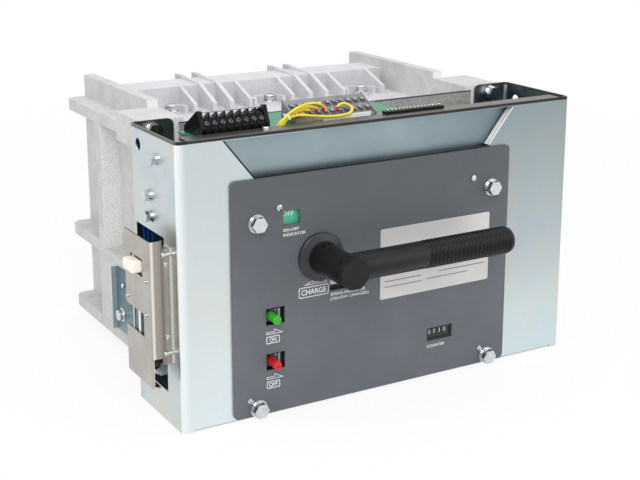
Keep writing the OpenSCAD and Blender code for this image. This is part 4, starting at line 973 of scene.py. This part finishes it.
# edge connector: a row of bright pins
edge = {"x": 10, "pitch": 5.2, "count": 15, "y": 20.7, "z": 332.8, "pin": (2.4, 2.4, 2.2), "round": 0.5}
studs = []
for i in range(edge["count"]):
    stud = block(edge["x"] + i * edge["pitch"], edge["y"], edge["z"], *edge["pin"])
    studs.append(softened(stud, edge["round"]))
settle(joined(studs, "edgePins"), "boltPlate")
print("edge connector dressed")

# two more leads of the yellow bundle: one loops over the carrier and turns back into it, one is short
looped = {"d": 3, "order": 4, "steps": 6, "sides": 3, "routes": [
    [(-124.2, 28.8, 324.9), (-123.2, 29.2, 330.5), (-116.5, 31, 336.2), (-104, 32.2, 337.8), (-88, 33, 335.5),
     (-70, 33.4, 332.5), (-56, 33, 331), (-44, 32.4, 331.2), (-34, 32.4, 332.6), (-27.5, 35.8, 335.6),
     (-26.5, 42.4, 339.6), (-31.5, 47.6, 342.4), (-38, 48.4, 341.6), (-43, 47.2, 338.2), (-46.4, 47, 335.2)],
    [(-124.2, 32.4, 324.9), (-123, 32.7, 329.2), (-116.5, 33.8, 334), (-108, 35, 335.2), (-99, 38, 336),
     (-92, 42.3, 336.2), (-88.8, 45.2, 336.8), (-86.4, 46.8, 335.6)]]}
strands = []
for route in looped["routes"]:
    deselect()
    bpy.ops.curve.primitive_nurbs_path_add()
    strand = bpy.context.object
    path = strand.data.splines[0]
    path.points.add(len(route) - len(path.points))
    for point, spot in zip(path.points, route):
        point.co = (*at(*spot), 1)
    path.order_u = looped["order"]
    path.use_endpoint_u = True
    path.resolution_u = looped["steps"]
    strand.data.bevel_depth = looped["d"] / 2 * mm
    strand.data.bevel_resolution = looped["sides"]
    strand.data.use_fill_caps = True
    bpy.ops.object.convert(target="MESH")
    strands.append(closed(bpy.context.object))
settle(joined(strands, "loopedLeads"), "yellowPvc", angle=60)

# red ferrules where the leads enter the carrier, each at its place and lean, and a white tie round the bundle
tips = {"ways": ((-58, -25), (-67, -25), (-76, -25), (-85.4, -25), (-48.2, 50)), "y": 47, "z": 333.2,
        "size": (4.4, 8, 20), "taper": 0.7, "edge": 0.4}
sleeves = []
for x, lean in tips["ways"]:
    sleeve = drum(*tips["size"])
    bpy.ops.object.mode_set(mode="EDIT")
    pickFaces(sleeve, lambda f: f.normal.z < -0.9)
    bpy.ops.transform.resize(value=(tips["taper"], tips["taper"], 1), center_override=(0, 0, 0))
    bpy.ops.object.mode_set(mode="OBJECT")
    sleeve = softened(sleeve, tips["edge"])
    sleeve.data.transform(leaned(x, tips["y"], tips["z"], lean))
    sleeves.append(sleeve)
settle(joined(sleeves, "leadFerrules"), "redFerrule")
tie = {"place": (-116, 33.5, 336.4), "size": (2.8, 13, 6.4), "lean": 26, "round": 1.6}
w, d, h = tie["size"]
band = softened(block(-w / 2, -d / 2, -h / 2, w, d, h), tie["round"], 4)
band.data.transform(leaned(*tie["place"], -tie["lean"]) @ centred)
settle(joined([band], "leadTie"), "markerWhite")
print("leads dressed")
